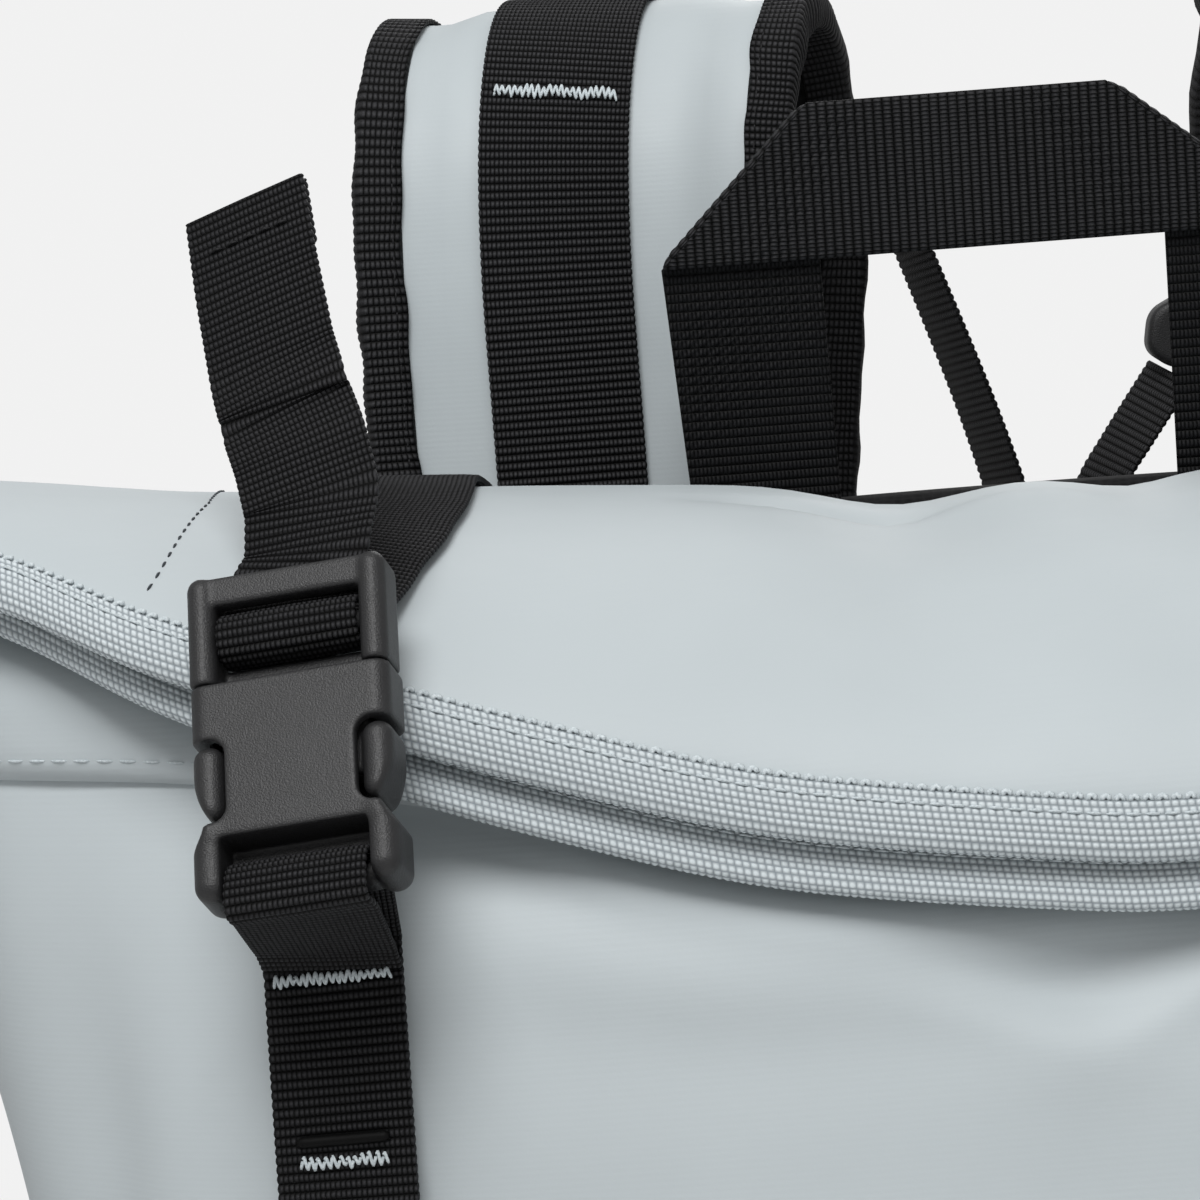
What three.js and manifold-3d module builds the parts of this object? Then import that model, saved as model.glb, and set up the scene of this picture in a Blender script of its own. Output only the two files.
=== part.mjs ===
// Roll-top cooler backpack, standing on its base.
// Millimetres, Z up, the front faces -Y, the origin is the centre of the base.
import * as THREE from "three";
import { mergeVertices } from "three/addons/utils/BufferGeometryUtils.js";
import Module from "manifold-3d";

const wasm = await Module();
wasm.setup();

// Sizes shared by all pieces
const CREST_Z = 400;
const GAP = 0.3;
const STATIONS = 24;
const SEAM_HALF = 175;
const WING_HALF = 212;

// Insulated body: plan sections from the base up to the rim
const BODY_WALL = 6;
const RIM_WALL = 2.6;
const FLOOR_Z = 8;
const RIM_Z = 372;
const DIP_START = 250;
const WALL_THINS = 320;
const FLOOR_SHARE = 0.97;
const BODY_SECTIONS = [
  { z: 0, half: 130, front: -70, back: 56, frontSquare: 3.8, backSquare: 5 },
  { z: 3, half: 135.5, front: -75.5, back: 61.5, frontSquare: 3.8, backSquare: 5 },
  { z: 9, half: 139, front: -79.5, back: 65.5, frontSquare: 3.8, backSquare: 5.4 },
  { z: 22, half: 140.5, front: -82, back: 68, frontSquare: 3.7, backSquare: 6 },
  { z: 80, half: 143, front: -86, back: 69.6, frontSquare: 3.5, backSquare: 6 },
  { z: 150, half: 146, front: -88.5, back: 69.8, frontSquare: 3.3, backSquare: 6 },
  { z: 220, half: 149.5, front: -89.5, back: 69.8, frontSquare: 3.2, backSquare: 6 },
  { z: 270, half: 153, front: -89, back: 69.6, frontSquare: 3.1, backSquare: 5.4 },
  { z: 302, half: 157, front: -87, back: 69, frontSquare: 3, backSquare: 4.6 },
  { z: 324, half: 161, front: -83, back: 68, frontSquare: 2.9, backSquare: 3.8 },
  { z: 348, half: 167, front: -76, back: 66, frontSquare: 2.8, backSquare: 3.2 },
  { z: 372, half: 175, front: -66, back: 62, frontSquare: 2.6, backSquare: 2.8 },
];

// Height of the front seam under the crest, against the distance from the middle
const SEAM_LINE = [
  { x: 0, drop: 53 },
  { x: 50, drop: 47 },
  { x: 95, drop: 37 },
  { x: 124, drop: 32.6 },
  { x: 153, drop: 31 },
  { x: 175, drop: 31 },
];
const BACK_SEAM_DROP = 31;

// Rolled collar: the roof and the flap that folds forward, against the distance from the middle
const COLLAR_WALL = 1.4;
const LAYER_STEP = 5.3;
const SEAM_LIFT = 1;
const SEAM_INSET = 0.9;
const TIP_TURN = 1.6;
const TIP_ROWS = 3;
const COLLAR_SECTIONS = [
  { x: 0, crestY: 5, crestZ: -5.4, lipY: -79.5, lipZ: -51.1, foldY: 45, lipStep: 5.2 },
  { x: 22, crestY: 5, crestZ: -4, lipY: -79.5, lipZ: -50.2, foldY: 45, lipStep: 5.2 },
  { x: 54, crestY: 4, crestZ: -1.9, lipY: -79, lipZ: -44.6, foldY: 44, lipStep: 5.2 },
  { x: 80, crestY: 2, crestZ: 0.4, lipY: -77.5, lipZ: -34.6, foldY: 41, lipStep: 5.2 },
  { x: 108, crestY: -1, crestZ: 2.6, lipY: -74, lipZ: -23.2, foldY: 36, lipStep: 5.2 },
  { x: 130, crestY: -4, crestZ: 4.6, lipY: -66, lipZ: -14.2, foldY: 28, lipStep: 5 },
  { x: 152, crestY: -7, crestZ: 7.8, lipY: -51, lipZ: -4.2, foldY: 18, lipStep: 4.2 },
  { x: 180, crestY: -9, crestZ: 11.4, lipY: -42, lipZ: 2.2, foldY: 6, lipStep: 1.4 },
  { x: 212, crestY: -8, crestZ: 13.4, lipY: -32, lipZ: 5.6, foldY: -4.5, lipStep: 0.2 },
];
const MIDDLE_SHIFT = { reach: 22, spread: 60 };
const CREST_DENTS = [
  { x: -19, depth: 2.8, spread: 16 },
  { x: 16, depth: 1.4, spread: 9 },
];
const BACK_SHOULDER = 3.2;
const FRONT_BROW = 1.9;
const UNDER_BROW = 1.8;

// Grosgrain tape over each lip
const TAPE_WIDTH = 7.6;
const TAPE_THICK = 0.55;
const TAPE_GAP = 0.25;
const TAPE_END = 0.83;

// Padded back panel
const PANEL = { half: 120, low: 14, high: 391, far: 85.6, corner: 38, arch: 3 };
const PANEL_STEPS = 5;
const PANEL_TOP_X = [49, 0, -49];
const PANEL_PROFILE = [
  { inset: 3.2, y: 70.6 },
  { inset: 0, y: 73.8 },
  { inset: 0, y: 80 },
  { inset: 2.8, y: 84 },
  { inset: 9.6, y: 85.6 },
];

// Webbing
const WEB = 1.4;
const NARROW = 20;
const BROAD = 25;

// Haul handle
const HANDLE = {
  y: 68.6, thick: 1.7, layer: 2.1, lean: 0.14, fold: 2.4,
  low: 372, bandLow: 431.6, legOut: 52,
};
const HANDLE_RIGHT = { slant: 6, legShift: 2.4 };

// Shoulder straps: the middle line from the root on the panel, over the arch, to the lower end
const STRAP_WIDTH = 73;
const WEBBING_OUT = 3.2;
const STRAP_THICK = 10;
const STRAP_EDGE = 5.2;
const STRAP_BIND = 10;
const BIND_REACH = 7;
const CROWN_INSET = 2.5;
const STRAP_TAPER = { from: 0.8, to: 0.62 };
const STRAP_LINE = [
  { y: 93.4, z: 340, out: 65.8 },
  { y: 93.4, z: 372, out: 65.8 },
  { y: 93.6, z: 405, out: 65.8 },
  { y: 94.2, z: 432, out: 65.8 },
  { y: 98, z: 452, out: 64.6 },
  { y: 107.6, z: 466, out: 61.8 },
  { y: 121, z: 471, out: 58 },
  { y: 135, z: 466.5, out: 54 },
  { y: 145, z: 453, out: 51.4 },
  { y: 149.5, z: 434, out: 50.8 },
  { y: 151.5, z: 405, out: 54 },
  { y: 153, z: 365, out: 58 },
  { y: 153, z: 315, out: 63 },
  { y: 150, z: 260, out: 69 },
  { y: 143, z: 205, out: 76 },
  { y: 132, z: 158, out: 83 },
];
const RIGHT_STRAP_OUT = [
  { z: 340, add: 8 },
  { z: 405, add: 9 },
  { z: 471, add: 22 },
];
const RIGHT_FAR_ADD = 30;
const RIGHT_ADD_HEIGHT = 160;
const STRAP_FAR_Y = 121;
const STRAP_STEPS = 20;

// Front buckle, upright in its own frame, then turned on to the flap
const BUCKLE = {
  width: 28.5,
  thick: 10,
  top: 24,
  split: 7.6,
  bottom: -24,
  at: new THREE.Vector3(-109, -84.5, 375.5),
  turnLeft: 15,
  leanBack: 29,
  roll: 8,
};

// Arithmetic helpers
const radians = THREE.MathUtils.degToRad;
const clamp = THREE.MathUtils.clamp;
const mix = THREE.MathUtils.lerp;

function ease(v) {
  const s = clamp(v, 0, 1);
  return s * s * (3 - 2 * s);
}

// Smooth reading of one column of a table
function along(table, key, at, column) {
  const last = table.length - 1;
  const x = clamp(at, table[0][key], table[last][key]);
  let i = 0;
  while (i < last - 1 && x > table[i + 1][key]) i += 1;
  const slope = (k) => {
    const a = table[Math.max(k - 1, 0)];
    const b = table[Math.min(k + 1, last)];
    return (b[column] - a[column]) / (b[key] - a[key]);
  };
  const p = table[i];
  const q = table[i + 1];
  const span = q[key] - p[key];
  const s = (x - p[key]) / span;
  const s2 = s * s;
  const s3 = s2 * s;
  return (
    (2 * s3 - 3 * s2 + 1) * p[column] +
    (s3 - 2 * s2 + s) * span * slope(i) +
    (3 * s2 - 2 * s3) * q[column] +
    (s3 - s2) * span * slope(i + 1)
  );
}

// Closed solids from rings of points
function geometryOf(points, faces) {
  const flat = [];
  points.forEach((p) => flat.push(p.x, p.y, p.z));
  const geometry = new THREE.BufferGeometry();
  geometry.setAttribute("position", new THREE.Float32BufferAttribute(flat, 3));
  let volume = 0;
  faces.forEach(([a, b, c]) => {
    volume += points[a].dot(new THREE.Vector3().crossVectors(points[b], points[c]));
  });
  const outward = volume < 0 ? faces.map(([a, b, c]) => [a, c, b]) : faces;
  geometry.setIndex(outward.flat());
  return geometry;
}

// Rings joined one to the next: looped end to end, or closed at both ends by the listed polygons.
// The quads of a turned strip are split along their other diagonal.
function loft(rings, { looped = false, caps = null, turned = [] } = {}) {
  const count = rings[0].length;
  const points = rings.flat();
  const faces = [];
  const spans = looped ? rings.length : rings.length - 1;
  for (let r = 0; r < spans; r += 1) {
    const here = r * count;
    const next = ((r + 1) % rings.length) * count;
    for (let k = 0; k < count; k += 1) {
      const l = (k + 1) % count;
      const corner = turned.includes(k) ? next + k : next + l;
      const hinge = turned.includes(k) ? here + l : here + k;
      faces.push([here + k, here + l, corner]);
      faces.push([hinge, next + l, next + k]);
    }
  }
  if (!looped) {
    const last = (rings.length - 1) * count;
    if (caps) {
      caps.forEach((polygon) => {
        for (let k = 1; k < polygon.length - 1; k += 1) {
          faces.push([polygon[0], polygon[k + 1], polygon[k]]);
          faces.push([last + polygon[0], last + polygon[k], last + polygon[k + 1]]);
        }
      });
    } else {
      [
        [rings[0], 0, true],
        [rings[rings.length - 1], last, false],
      ].forEach(([ring, start, first]) => {
        const centre = new THREE.Vector3();
        ring.forEach((p) => centre.addScaledVector(p, 1 / count));
        points.push(centre);
        const hub = points.length - 1;
        for (let k = 0; k < count; k += 1) {
          const l = (k + 1) % count;
          faces.push(first ? [hub, start + l, start + k] : [hub, start + k, start + l]);
        }
      });
    }
  }
  return geometryOf(points, faces);
}

function tangents(path) {
  return path.map((p, i) => {
    const a = path[Math.max(i - 1, 0)];
    const b = path[Math.min(i + 1, path.length - 1)];
    return b.clone().sub(a).normalize();
  });
}

// A flat strap along a path: the width lies along the given direction at each point
const STRAP_TURNED = [2];

function strap(path, acrossAt, width, thick) {
  const heads = tangents(path);
  const rings = path.map((p, i) => {
    const across = acrossAt[i].clone();
    across.addScaledVector(heads[i], -across.dot(heads[i])).normalize();
    const face = new THREE.Vector3().crossVectors(heads[i], across);
    const corner = (w, t) => p.clone().addScaledVector(across, w).addScaledVector(face, t);
    const w = width / 2;
    const t = thick / 2;
    return [corner(-w, -t), corner(w, -t), corner(w, t), corner(-w, t)];
  });
  return loft(rings, { caps: [[0, 1, 2, 3]], turned: STRAP_TURNED });
}

function mirrored(geometry) {
  const copy = geometry.clone();
  const position = copy.getAttribute("position");
  for (let i = 0; i < position.count; i += 1) position.setX(i, -position.getX(i));
  const index = Array.from(copy.index.array);
  for (let i = 0; i < index.length; i += 3) {
    const held = index[i + 1];
    index[i + 1] = index[i + 2];
    index[i + 2] = held;
  }
  copy.setIndex(index);
  return copy;
}

// Joined and cut solids
function solid(geometry) {
  const bare = geometry.clone();
  bare.deleteAttribute("normal");
  bare.deleteAttribute("uv");
  const merged = mergeVertices(bare, 1e-4);
  return new wasm.Manifold(
    new wasm.Mesh({
      numProp: 3,
      vertProperties: new Float32Array(merged.attributes.position.array),
      triVerts: new Uint32Array(merged.index.array),
    }),
  );
}

function geometryFrom(made) {
  const mesh = made.getMesh();
  const geometry = new THREE.BufferGeometry();
  geometry.setAttribute("position", new THREE.BufferAttribute(mesh.vertProperties, 3));
  geometry.setIndex(new THREE.BufferAttribute(mesh.triVerts, 1));
  return geometry;
}

function block(x0, x1, y0, y1, z0, z1) {
  const box = new THREE.BoxGeometry(x1 - x0, y1 - y0, z1 - z0);
  box.translate((x0 + x1) / 2, (y0 + y1) / 2, (z0 + z1) / 2);
  return solid(box);
}

// Plan stations: one ring of columns runs along the front from left to right, then back along the rear
const COLUMNS = [];
for (let j = 0; j <= STATIONS; j += 1) {
  COLUMNS.push({ t: -Math.cos((Math.PI * j) / STATIONS), side: -1 });
}
for (let j = STATIONS - 1; j > 0; j -= 1) {
  COLUMNS.push({ t: -Math.cos((Math.PI * j) / STATIONS), side: 1 });
}
const isTip = (column) => Math.abs(column.t) > 0.9999;

function seamDrop(column) {
  if (column.side > 0) return BACK_SEAM_DROP;
  return along(SEAM_LINE, "x", Math.abs(column.t) * SEAM_HALF, "drop");
}

// A point of the body's outer face: z is the nominal height, the rim dips with the seam
function bodyPoint(column, z) {
  const read = (name) => along(BODY_SECTIONS, "z", z, name);
  const front = read("front");
  const back = read("back");
  const square = column.side < 0 ? read("frontSquare") : read("backSquare");
  const reach = Math.pow(Math.max(1 - Math.pow(Math.abs(column.t), square), 0), 1 / square);
  const middle = (front + back) / 2;
  const dip = CREST_Z - seamDrop(column) - RIM_Z;
  return new THREE.Vector3(
    column.t * read("half"),
    middle + (column.side * reach * (back - front)) / 2,
    z + dip * ease((z - DIP_START) / (RIM_Z - DIP_START)),
  );
}

function planInset(ring, amount) {
  return ring.map((p, k) => {
    const a = ring[(k + ring.length - 1) % ring.length];
    const b = ring[(k + 1) % ring.length];
    const inward = new THREE.Vector3(-(b.y - a.y), b.x - a.x, 0).normalize();
    return p.clone().addScaledVector(inward, amount);
  });
}

const bodyRing = (z) => COLUMNS.map((column) => bodyPoint(column, z));
const BODY_HEIGHTS = [0, 3, 9, 22, 75, 140, 205, 260, 300, 330, 353, RIM_Z];

function bodyShell() {
  const outer = BODY_HEIGHTS.map(bodyRing);
  const inner = BODY_HEIGHTS.filter((z) => z > FLOOR_Z).map((z) => {
    const wall = mix(BODY_WALL, RIM_WALL, ease((z - WALL_THINS) / (RIM_Z - WALL_THINS)));
    return planInset(bodyRing(z), wall);
  });
  const floor = inner[0].map((p) => new THREE.Vector3(p.x * FLOOR_SHARE, p.y * FLOOR_SHARE, FLOOR_Z));
  return loft([...outer, ...inner.reverse(), floor]);
}

// Front face of the body at a given place, for whatever lies on it
function bodyFront(x, z) {
  let low = 0;
  let high = RIM_Z;
  let point = null;
  for (let k = 0; k < 40; k += 1) {
    const mid = (low + high) / 2;
    const half = along(BODY_SECTIONS, "z", mid, "half");
    point = bodyPoint({ t: clamp(x / half, -1, 1), side: -1 }, mid);
    if (point.z < z) low = mid;
    else high = mid;
  }
  return point;
}

// The visible outer layer of the collar: from the back seam over the crest to the lip, middle of the wall
function fromMiddle(x) {
  return Math.abs(x - MIDDLE_SHIFT.reach * Math.exp(-((x / MIDDLE_SHIFT.spread) ** 2)));
}

function crestHeight(x) {
  let z = CREST_Z + along(COLLAR_SECTIONS, "x", fromMiddle(x), "crestZ");
  CREST_DENTS.forEach((dent) => {
    z -= dent.depth * Math.exp(-(((x - dent.x) / dent.spread) ** 2));
  });
  return z;
}

const SEAM_RING = planInset(bodyRing(RIM_Z), SEAM_INSET);

function seamPoint(t, side) {
  const column = { t, side };
  const outer = bodyPoint(column, RIM_Z);
  const near = COLUMNS.findIndex((c) => c.side === side && Math.abs(c.t - t) < 1e-9);
  const held = near >= 0 ? SEAM_RING[near] : outer;
  return new THREE.Vector3(held.x, held.y, outer.z + SEAM_LIFT);
}

function lineAt(t) {
  const x = t * WING_HALF;
  const read = (name) => along(COLLAR_SECTIONS, "x", fromMiddle(x), name);
  return {
    x,
    crestY: read("crestY"),
    crestZ: crestHeight(x),
    lipY: read("lipY"),
    lipZ: CREST_Z + read("lipZ"),
    foldY: read("foldY"),
    lipStep: read("lipStep"),
  };
}

const quarter = (v, power) => Math.pow(Math.max(v, 0), 2 / power);

function outerLayer(t, steps) {
  const line = lineAt(t);
  const tip = Math.abs(t) > 0.9999;
  const seam = seamPoint(t, tip ? -1 : 1);
  const points = [];
  for (let k = 0; k <= steps; k += 1) {
    const angle = (Math.PI / 2) * (k / steps);
    const rise = quarter(Math.sin(angle), BACK_SHOULDER);
    points.push(
      new THREE.Vector3(
        mix(seam.x, line.x, rise),
        line.crestY + (seam.y - line.crestY) * quarter(Math.cos(angle), BACK_SHOULDER),
        seam.z + (line.crestZ - seam.z) * rise,
      ),
    );
  }
  for (let k = 1; k <= steps; k += 1) {
    const angle = (Math.PI / 2) * (k / steps);
    points.push(
      new THREE.Vector3(
        line.x,
        line.crestY - (line.crestY - line.lipY) * quarter(Math.sin(angle), FRONT_BROW),
        line.lipZ + (line.crestZ - line.lipZ) * quarter(Math.cos(angle), FRONT_BROW),
      ),
    );
  }
  return points;
}

// Outward direction of a layer in its own upright plane
function layerNormals(points) {
  return tangents(points).map((head) => new THREE.Vector3(0, head.z, -head.y).normalize());
}

function lengths(points) {
  const run = [0];
  for (let k = 1; k < points.length; k += 1) run.push(run[k - 1] + points[k].distanceTo(points[k - 1]));
  return run;
}

function atLength(points, run, want) {
  const s = clamp(want, 0, run[run.length - 1]);
  let k = 1;
  while (k < run.length - 1 && run[k] < s) k += 1;
  return points[k - 1].clone().lerp(points[k], (s - run[k - 1]) / (run[k] - run[k - 1]));
}

function resampled(points, count) {
  const run = lengths(points);
  const total = run[run.length - 1];
  return Array.from({ length: count + 1 }, (_, k) => atLength(points, run, (total * k) / count));
}

// The last stretch, as wide as the tape, stays straight
function withStraightLip(points, count) {
  const run = lengths(points);
  const total = run[run.length - 1];
  const bend = total - TAPE_WIDTH;
  const rows = Array.from({ length: count }, (_, k) => atLength(points, run, (bend * k) / (count - 1)));
  rows.push(points[points.length - 1].clone());
  return rows;
}

const DENSE = 40;
const ROWS_UNDER = 4;
const ROWS_BACK = 2;
const ROWS_TURN = 4;
const ROWS_FLAP = 6;
const TURN_SPAN = 7;
const TURN_SHARE = 0.6;

function rearColumn(t) {
  const line = lineAt(t);
  const points = outerLayer(t, DENSE);
  const turn = points.findIndex((p, k) => p.y <= line.foldY && k > 0);
  const before = points.slice(0, turn + 1);
  const run = lengths(before);
  const whole = run[run.length - 1];
  const start = Math.max(whole - TURN_SPAN, whole * TURN_SHARE);
  const rise = Array.from({ length: ROWS_UNDER + ROWS_BACK + 1 }, (_, k) =>
    atLength(before, run, (start * k) / (ROWS_UNDER + ROWS_BACK)),
  );
  const bend = Array.from({ length: ROWS_TURN }, (_, k) =>
    atLength(before, run, mix(start, whole, (k + 1) / ROWS_TURN)),
  );
  return [...rise, ...bend, ...withStraightLip(points.slice(turn), ROWS_FLAP).slice(1)];
}

function frontColumn(t) {
  const line = lineAt(t);
  const points = outerLayer(t, DENSE);
  const normals = layerNormals(points);
  const turn = points.findIndex((p, k) => p.y <= line.foldY && k > 0);
  const inside = (k, steps) => points[k].clone().addScaledVector(normals[k], -LAYER_STEP * steps);
  const seam = seamPoint(t, -1);
  const under = [];
  const top = line.crestZ - 2 * LAYER_STEP;
  for (let k = 0; k <= DENSE; k += 1) {
    const angle = (Math.PI / 2) * (1 - k / DENSE);
    const rise = quarter(Math.cos(angle), UNDER_BROW);
    under.push(
      new THREE.Vector3(
        mix(seam.x, line.x, rise),
        line.crestY - (line.crestY - seam.y) * quarter(Math.sin(angle), UNDER_BROW),
        seam.z + (top - seam.z) * rise,
      ),
    );
  }
  const toFold = [];
  for (let k = DENSE; k >= turn; k -= 1) toFold.push(inside(k, 2));
  const centre = inside(turn, 1.5);
  const outward = normals[turn];
  const rearward = tangents(points)[turn].clone().multiplyScalar(-1);
  const bend = Array.from({ length: ROWS_TURN }, (_, k) => {
    const angle = (Math.PI * (k + 1)) / ROWS_TURN;
    return centre
      .clone()
      .addScaledVector(outward, (-Math.cos(angle) * LAYER_STEP) / 2)
      .addScaledVector(rearward, (Math.sin(angle) * LAYER_STEP) / 2);
  });
  const flap = [];
  for (let k = turn; k < DENSE; k += 1) flap.push(inside(k, 1));
  for (let k = 0; k <= DENSE; k += 1) {
    const angle = (Math.PI / 2) * (k / DENSE);
    flap.push(
      new THREE.Vector3(
        line.x,
        mix(line.crestY, line.lipY + LAYER_STEP, quarter(Math.sin(angle), FRONT_BROW)),
        mix(line.lipZ - line.lipStep, line.crestZ - LAYER_STEP, quarter(Math.cos(angle), FRONT_BROW)),
      ),
    );
  }
  return [
    ...resampled(under, ROWS_UNDER),
    ...resampled(toFold, ROWS_BACK).slice(1),
    ...bend,
    ...withStraightLip(flap, ROWS_FLAP).slice(1),
  ];
}

// The wing tip, where the front layer turns into the rear layer
function tipColumn(t) {
  const front = frontColumn(t);
  const rear = rearColumn(t);
  return front.map((p, k) => {
    const point = p.clone().lerp(rear[k], 0.5);
    point.x += Math.sign(t) * TIP_TURN * ease(k / TIP_ROWS);
    return point;
  });
}

const COLLAR_GRID = COLUMNS.map((column) => {
  if (isTip(column)) return tipColumn(column.t);
  return column.side < 0 ? frontColumn(column.t) : rearColumn(column.t);
});
const COLLAR_ROWS = COLLAR_GRID[0].length;

// Outward direction of the collar's wall at each grid point
function collarNormal(c, r) {
  const count = COLUMNS.length;
  const column = COLLAR_GRID[c];
  const up = column[Math.min(r + 1, COLLAR_ROWS - 1)].clone().sub(column[Math.max(r - 1, 0)]);
  const left = COLLAR_GRID[(c + count - 1) % count][r];
  const right = COLLAR_GRID[(c + 1) % count][r];
  return right.clone().sub(left).cross(up).normalize();
}

function rollCollar() {
  const ringAt = (r, offset) =>
    COLUMNS.map((_, c) => COLLAR_GRID[c][r].clone().addScaledVector(collarNormal(c, r), offset));
  const rows = Array.from({ length: COLLAR_ROWS }, (_, r) => r);
  const outer = rows.map((r) => ringAt(r, COLLAR_WALL / 2));
  const inner = rows.map((r) => ringAt(r, -COLLAR_WALL / 2)).reverse();
  return loft([...outer, ...inner], { looped: true });
}

// Tape folded over a lip
const CHANNEL_CAPS = [
  [0, 1, 6, 7],
  [1, 2, 5, 6],
  [2, 3, 4, 5],
];
const CHANNEL_TURNED = [4, 5, 6];

function channel(start, startAcross, end, endAcross, inner, thick, gap) {
  const ahead = end.clone().sub(start).normalize();
  const open = (v) => start.clone().addScaledVector(startAcross, v);
  const shut = (u, v) => end.clone().addScaledVector(ahead, u).addScaledVector(endAcross, v);
  const outer = inner + thick;
  return [
    open(inner),
    shut(gap, inner),
    shut(gap, -inner),
    open(-inner),
    open(-outer),
    shut(gap + thick, -outer),
    shut(gap + thick, outer),
    open(outer),
  ];
}

function lipTape(side) {
  const rings = [];
  COLUMNS.forEach((column, c) => {
    if (column.side !== side || Math.abs(column.t) > TAPE_END) return;
    const rows = COLLAR_GRID[c];
    const end = rows[COLLAR_ROWS - 1];
    const start = rows[COLLAR_ROWS - 2];
    const endAcross = collarNormal(c, COLLAR_ROWS - 1);
    const startAcross = collarNormal(c, COLLAR_ROWS - 2);
    const inner = COLLAR_WALL / 2 + TAPE_GAP;
    rings.push(channel(start, startAcross, end, endAcross, inner, TAPE_THICK, TAPE_GAP));
  });
  return loft(rings, { caps: CHANNEL_CAPS, turned: CHANNEL_TURNED });
}

// Back panel: a rounded outline, softened at both faces
function panelOutline(inset) {
  const points = [];
  const half = PANEL.half - inset;
  const low = PANEL.low + inset;
  const high = PANEL.high - PANEL.arch - inset;
  const radius = PANEL.corner - inset;
  const arc = (x, z, start) => {
    for (let k = 0; k <= PANEL_STEPS; k += 1) {
      const angle = start + (Math.PI / 2) * (k / PANEL_STEPS);
      points.push([x + radius * Math.cos(angle), z + radius * Math.sin(angle)]);
    }
  };
  arc(half - radius, low + radius, -Math.PI / 2);
  arc(half - radius, high - radius, 0);
  PANEL_TOP_X.forEach((x) => points.push([x, high]));
  arc(radius - half, high - radius, Math.PI / 2);
  arc(radius - half, low + radius, Math.PI);
  return points.map(([x, z]) => {
    const bow = z > high - radius ? PANEL.arch * (1 - (x / half) ** 2) * ((z - high + radius) / radius) : 0;
    return [x, z + bow];
  });
}

function backPanel() {
  return loft(
    PANEL_PROFILE.map(({ inset, y }) => panelOutline(inset).map(([x, z]) => new THREE.Vector3(x, y, z))),
  );
}

// Handle: a band in front of two legs, each corner folded over at a slant
function plate(outline, y0, y1) {
  const shape = new THREE.Shape(outline.map(([x, z]) => new THREE.Vector2(x, z)));
  const geometry = new THREE.ExtrudeGeometry(shape, { depth: y1 - y0, bevelEnabled: false });
  geometry.rotateX(Math.PI / 2);
  geometry.translate(0, y1, 0);
  return solid(geometry);
}

function haulHandle() {
  const { y, thick, low, bandLow, legOut, layer, lean, fold } = HANDLE;
  const { slant, legShift } = HANDLE_RIGHT;
  const legIn = legOut - BROAD;
  const bandHigh = bandLow + BROAD;
  const band = [
    [-legOut, bandLow],
    [legOut, bandLow],
    [legIn - slant, bandHigh],
    [-legIn, bandHigh],
  ];
  const legAt = (side, top, shift) => [
    [side * legOut, low],
    [side * (legIn + shift), low],
    [side * (legIn + shift), bandLow],
    [side * top, bandHigh],
    [side * legOut, bandLow],
  ];
  const cornerAt = (side, top) => [
    [side * legOut, bandLow],
    [side * (legOut - fold), bandLow],
    [side * (top - fold), bandHigh],
    [side * top, bandHigh],
  ];
  const legs = [legAt(-1, legIn, 0), legAt(1, legIn - slant, legShift).reverse()];
  const corners = [cornerAt(-1, legIn), cornerAt(1, legIn - slant).reverse()];
  const front = y - layer;
  let made = plate(band, front, front + thick);
  legs.forEach((outline) => {
    made = made.add(plate(outline, y, y + thick));
  });
  corners.forEach((outline) => {
    made = made.add(plate(outline, front, y + thick));
  });
  const geometry = geometryFrom(made);
  const position = geometry.getAttribute("position");
  for (let i = 0; i < position.count; i += 1) {
    position.setY(i, position.getY(i) - lean * (position.getZ(i) - low));
  }
  return geometry;
}

// Shoulder strap: middle line, then the padded section, its two bindings and the webbing on its face
function strapLine(side) {
  const curve = new THREE.CatmullRomCurve3(
    STRAP_LINE.map(({ y, z, out }) => {
      const far = y > STRAP_FAR_Y;
      const add = far ? RIGHT_FAR_ADD : along(RIGHT_STRAP_OUT, "z", z, "add");
      const low = ease((z - RIGHT_ADD_HEIGHT) / RIGHT_ADD_HEIGHT);
      return new THREE.Vector3(side * out + (side > 0 ? add * low : 0), y, z);
    }),
  );
  return curve.getSpacedPoints(STRAP_STEPS);
}

function strapFrames(side) {
  const path = strapLine(side);
  const heads = tangents(path);
  return path.map((at, i) => {
    const across = new THREE.Vector3(1, 0, 0);
    across.addScaledVector(heads[i], -across.dot(heads[i])).normalize();
    const face = new THREE.Vector3().crossVectors(heads[i], across).normalize().negate();
    const share = i / (path.length - 1);
    const taper = mix(1, STRAP_TAPER.to, ease((share - STRAP_TAPER.from) / (1 - STRAP_TAPER.from)));
    return { at, across, face, half: (STRAP_WIDTH / 2) * taper };
  });
}

function strapPad(side) {
  const rings = strapFrames(side).map(({ at, across, face, half }) => {
    const edge = half - TAPE_THICK - GAP;
    const crown = half - STRAP_BIND - CROWN_INSET;
    const put = (w, n) => at.clone().addScaledVector(across, w).addScaledVector(face, n);
    const e = STRAP_EDGE / 2;
    const c = STRAP_THICK / 2;
    const ledge = half - STRAP_BIND;
    return [
      put(-edge, -e),
      put(-ledge, -e),
      put(-crown, -c),
      put(crown, -c),
      put(ledge, -e),
      put(edge, -e),
      put(edge, e),
      put(ledge, e),
      put(crown, c),
      put(-crown, c),
      put(-ledge, e),
      put(-edge, e),
    ];
  });
  return loft(rings);
}

function strapBinding(side, end) {
  const rings = strapFrames(side).map(({ at, across, face, half }) => {
    const outside = half - TAPE_THICK - GAP;
    const rim = at.clone().addScaledVector(across, end * outside);
    const start = at.clone().addScaledVector(across, end * (outside - BIND_REACH));
    return channel(start, face, rim, face, STRAP_EDGE / 2 + GAP, TAPE_THICK, GAP);
  });
  return loft(rings, { caps: CHANNEL_CAPS, turned: CHANNEL_TURNED });
}

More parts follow.
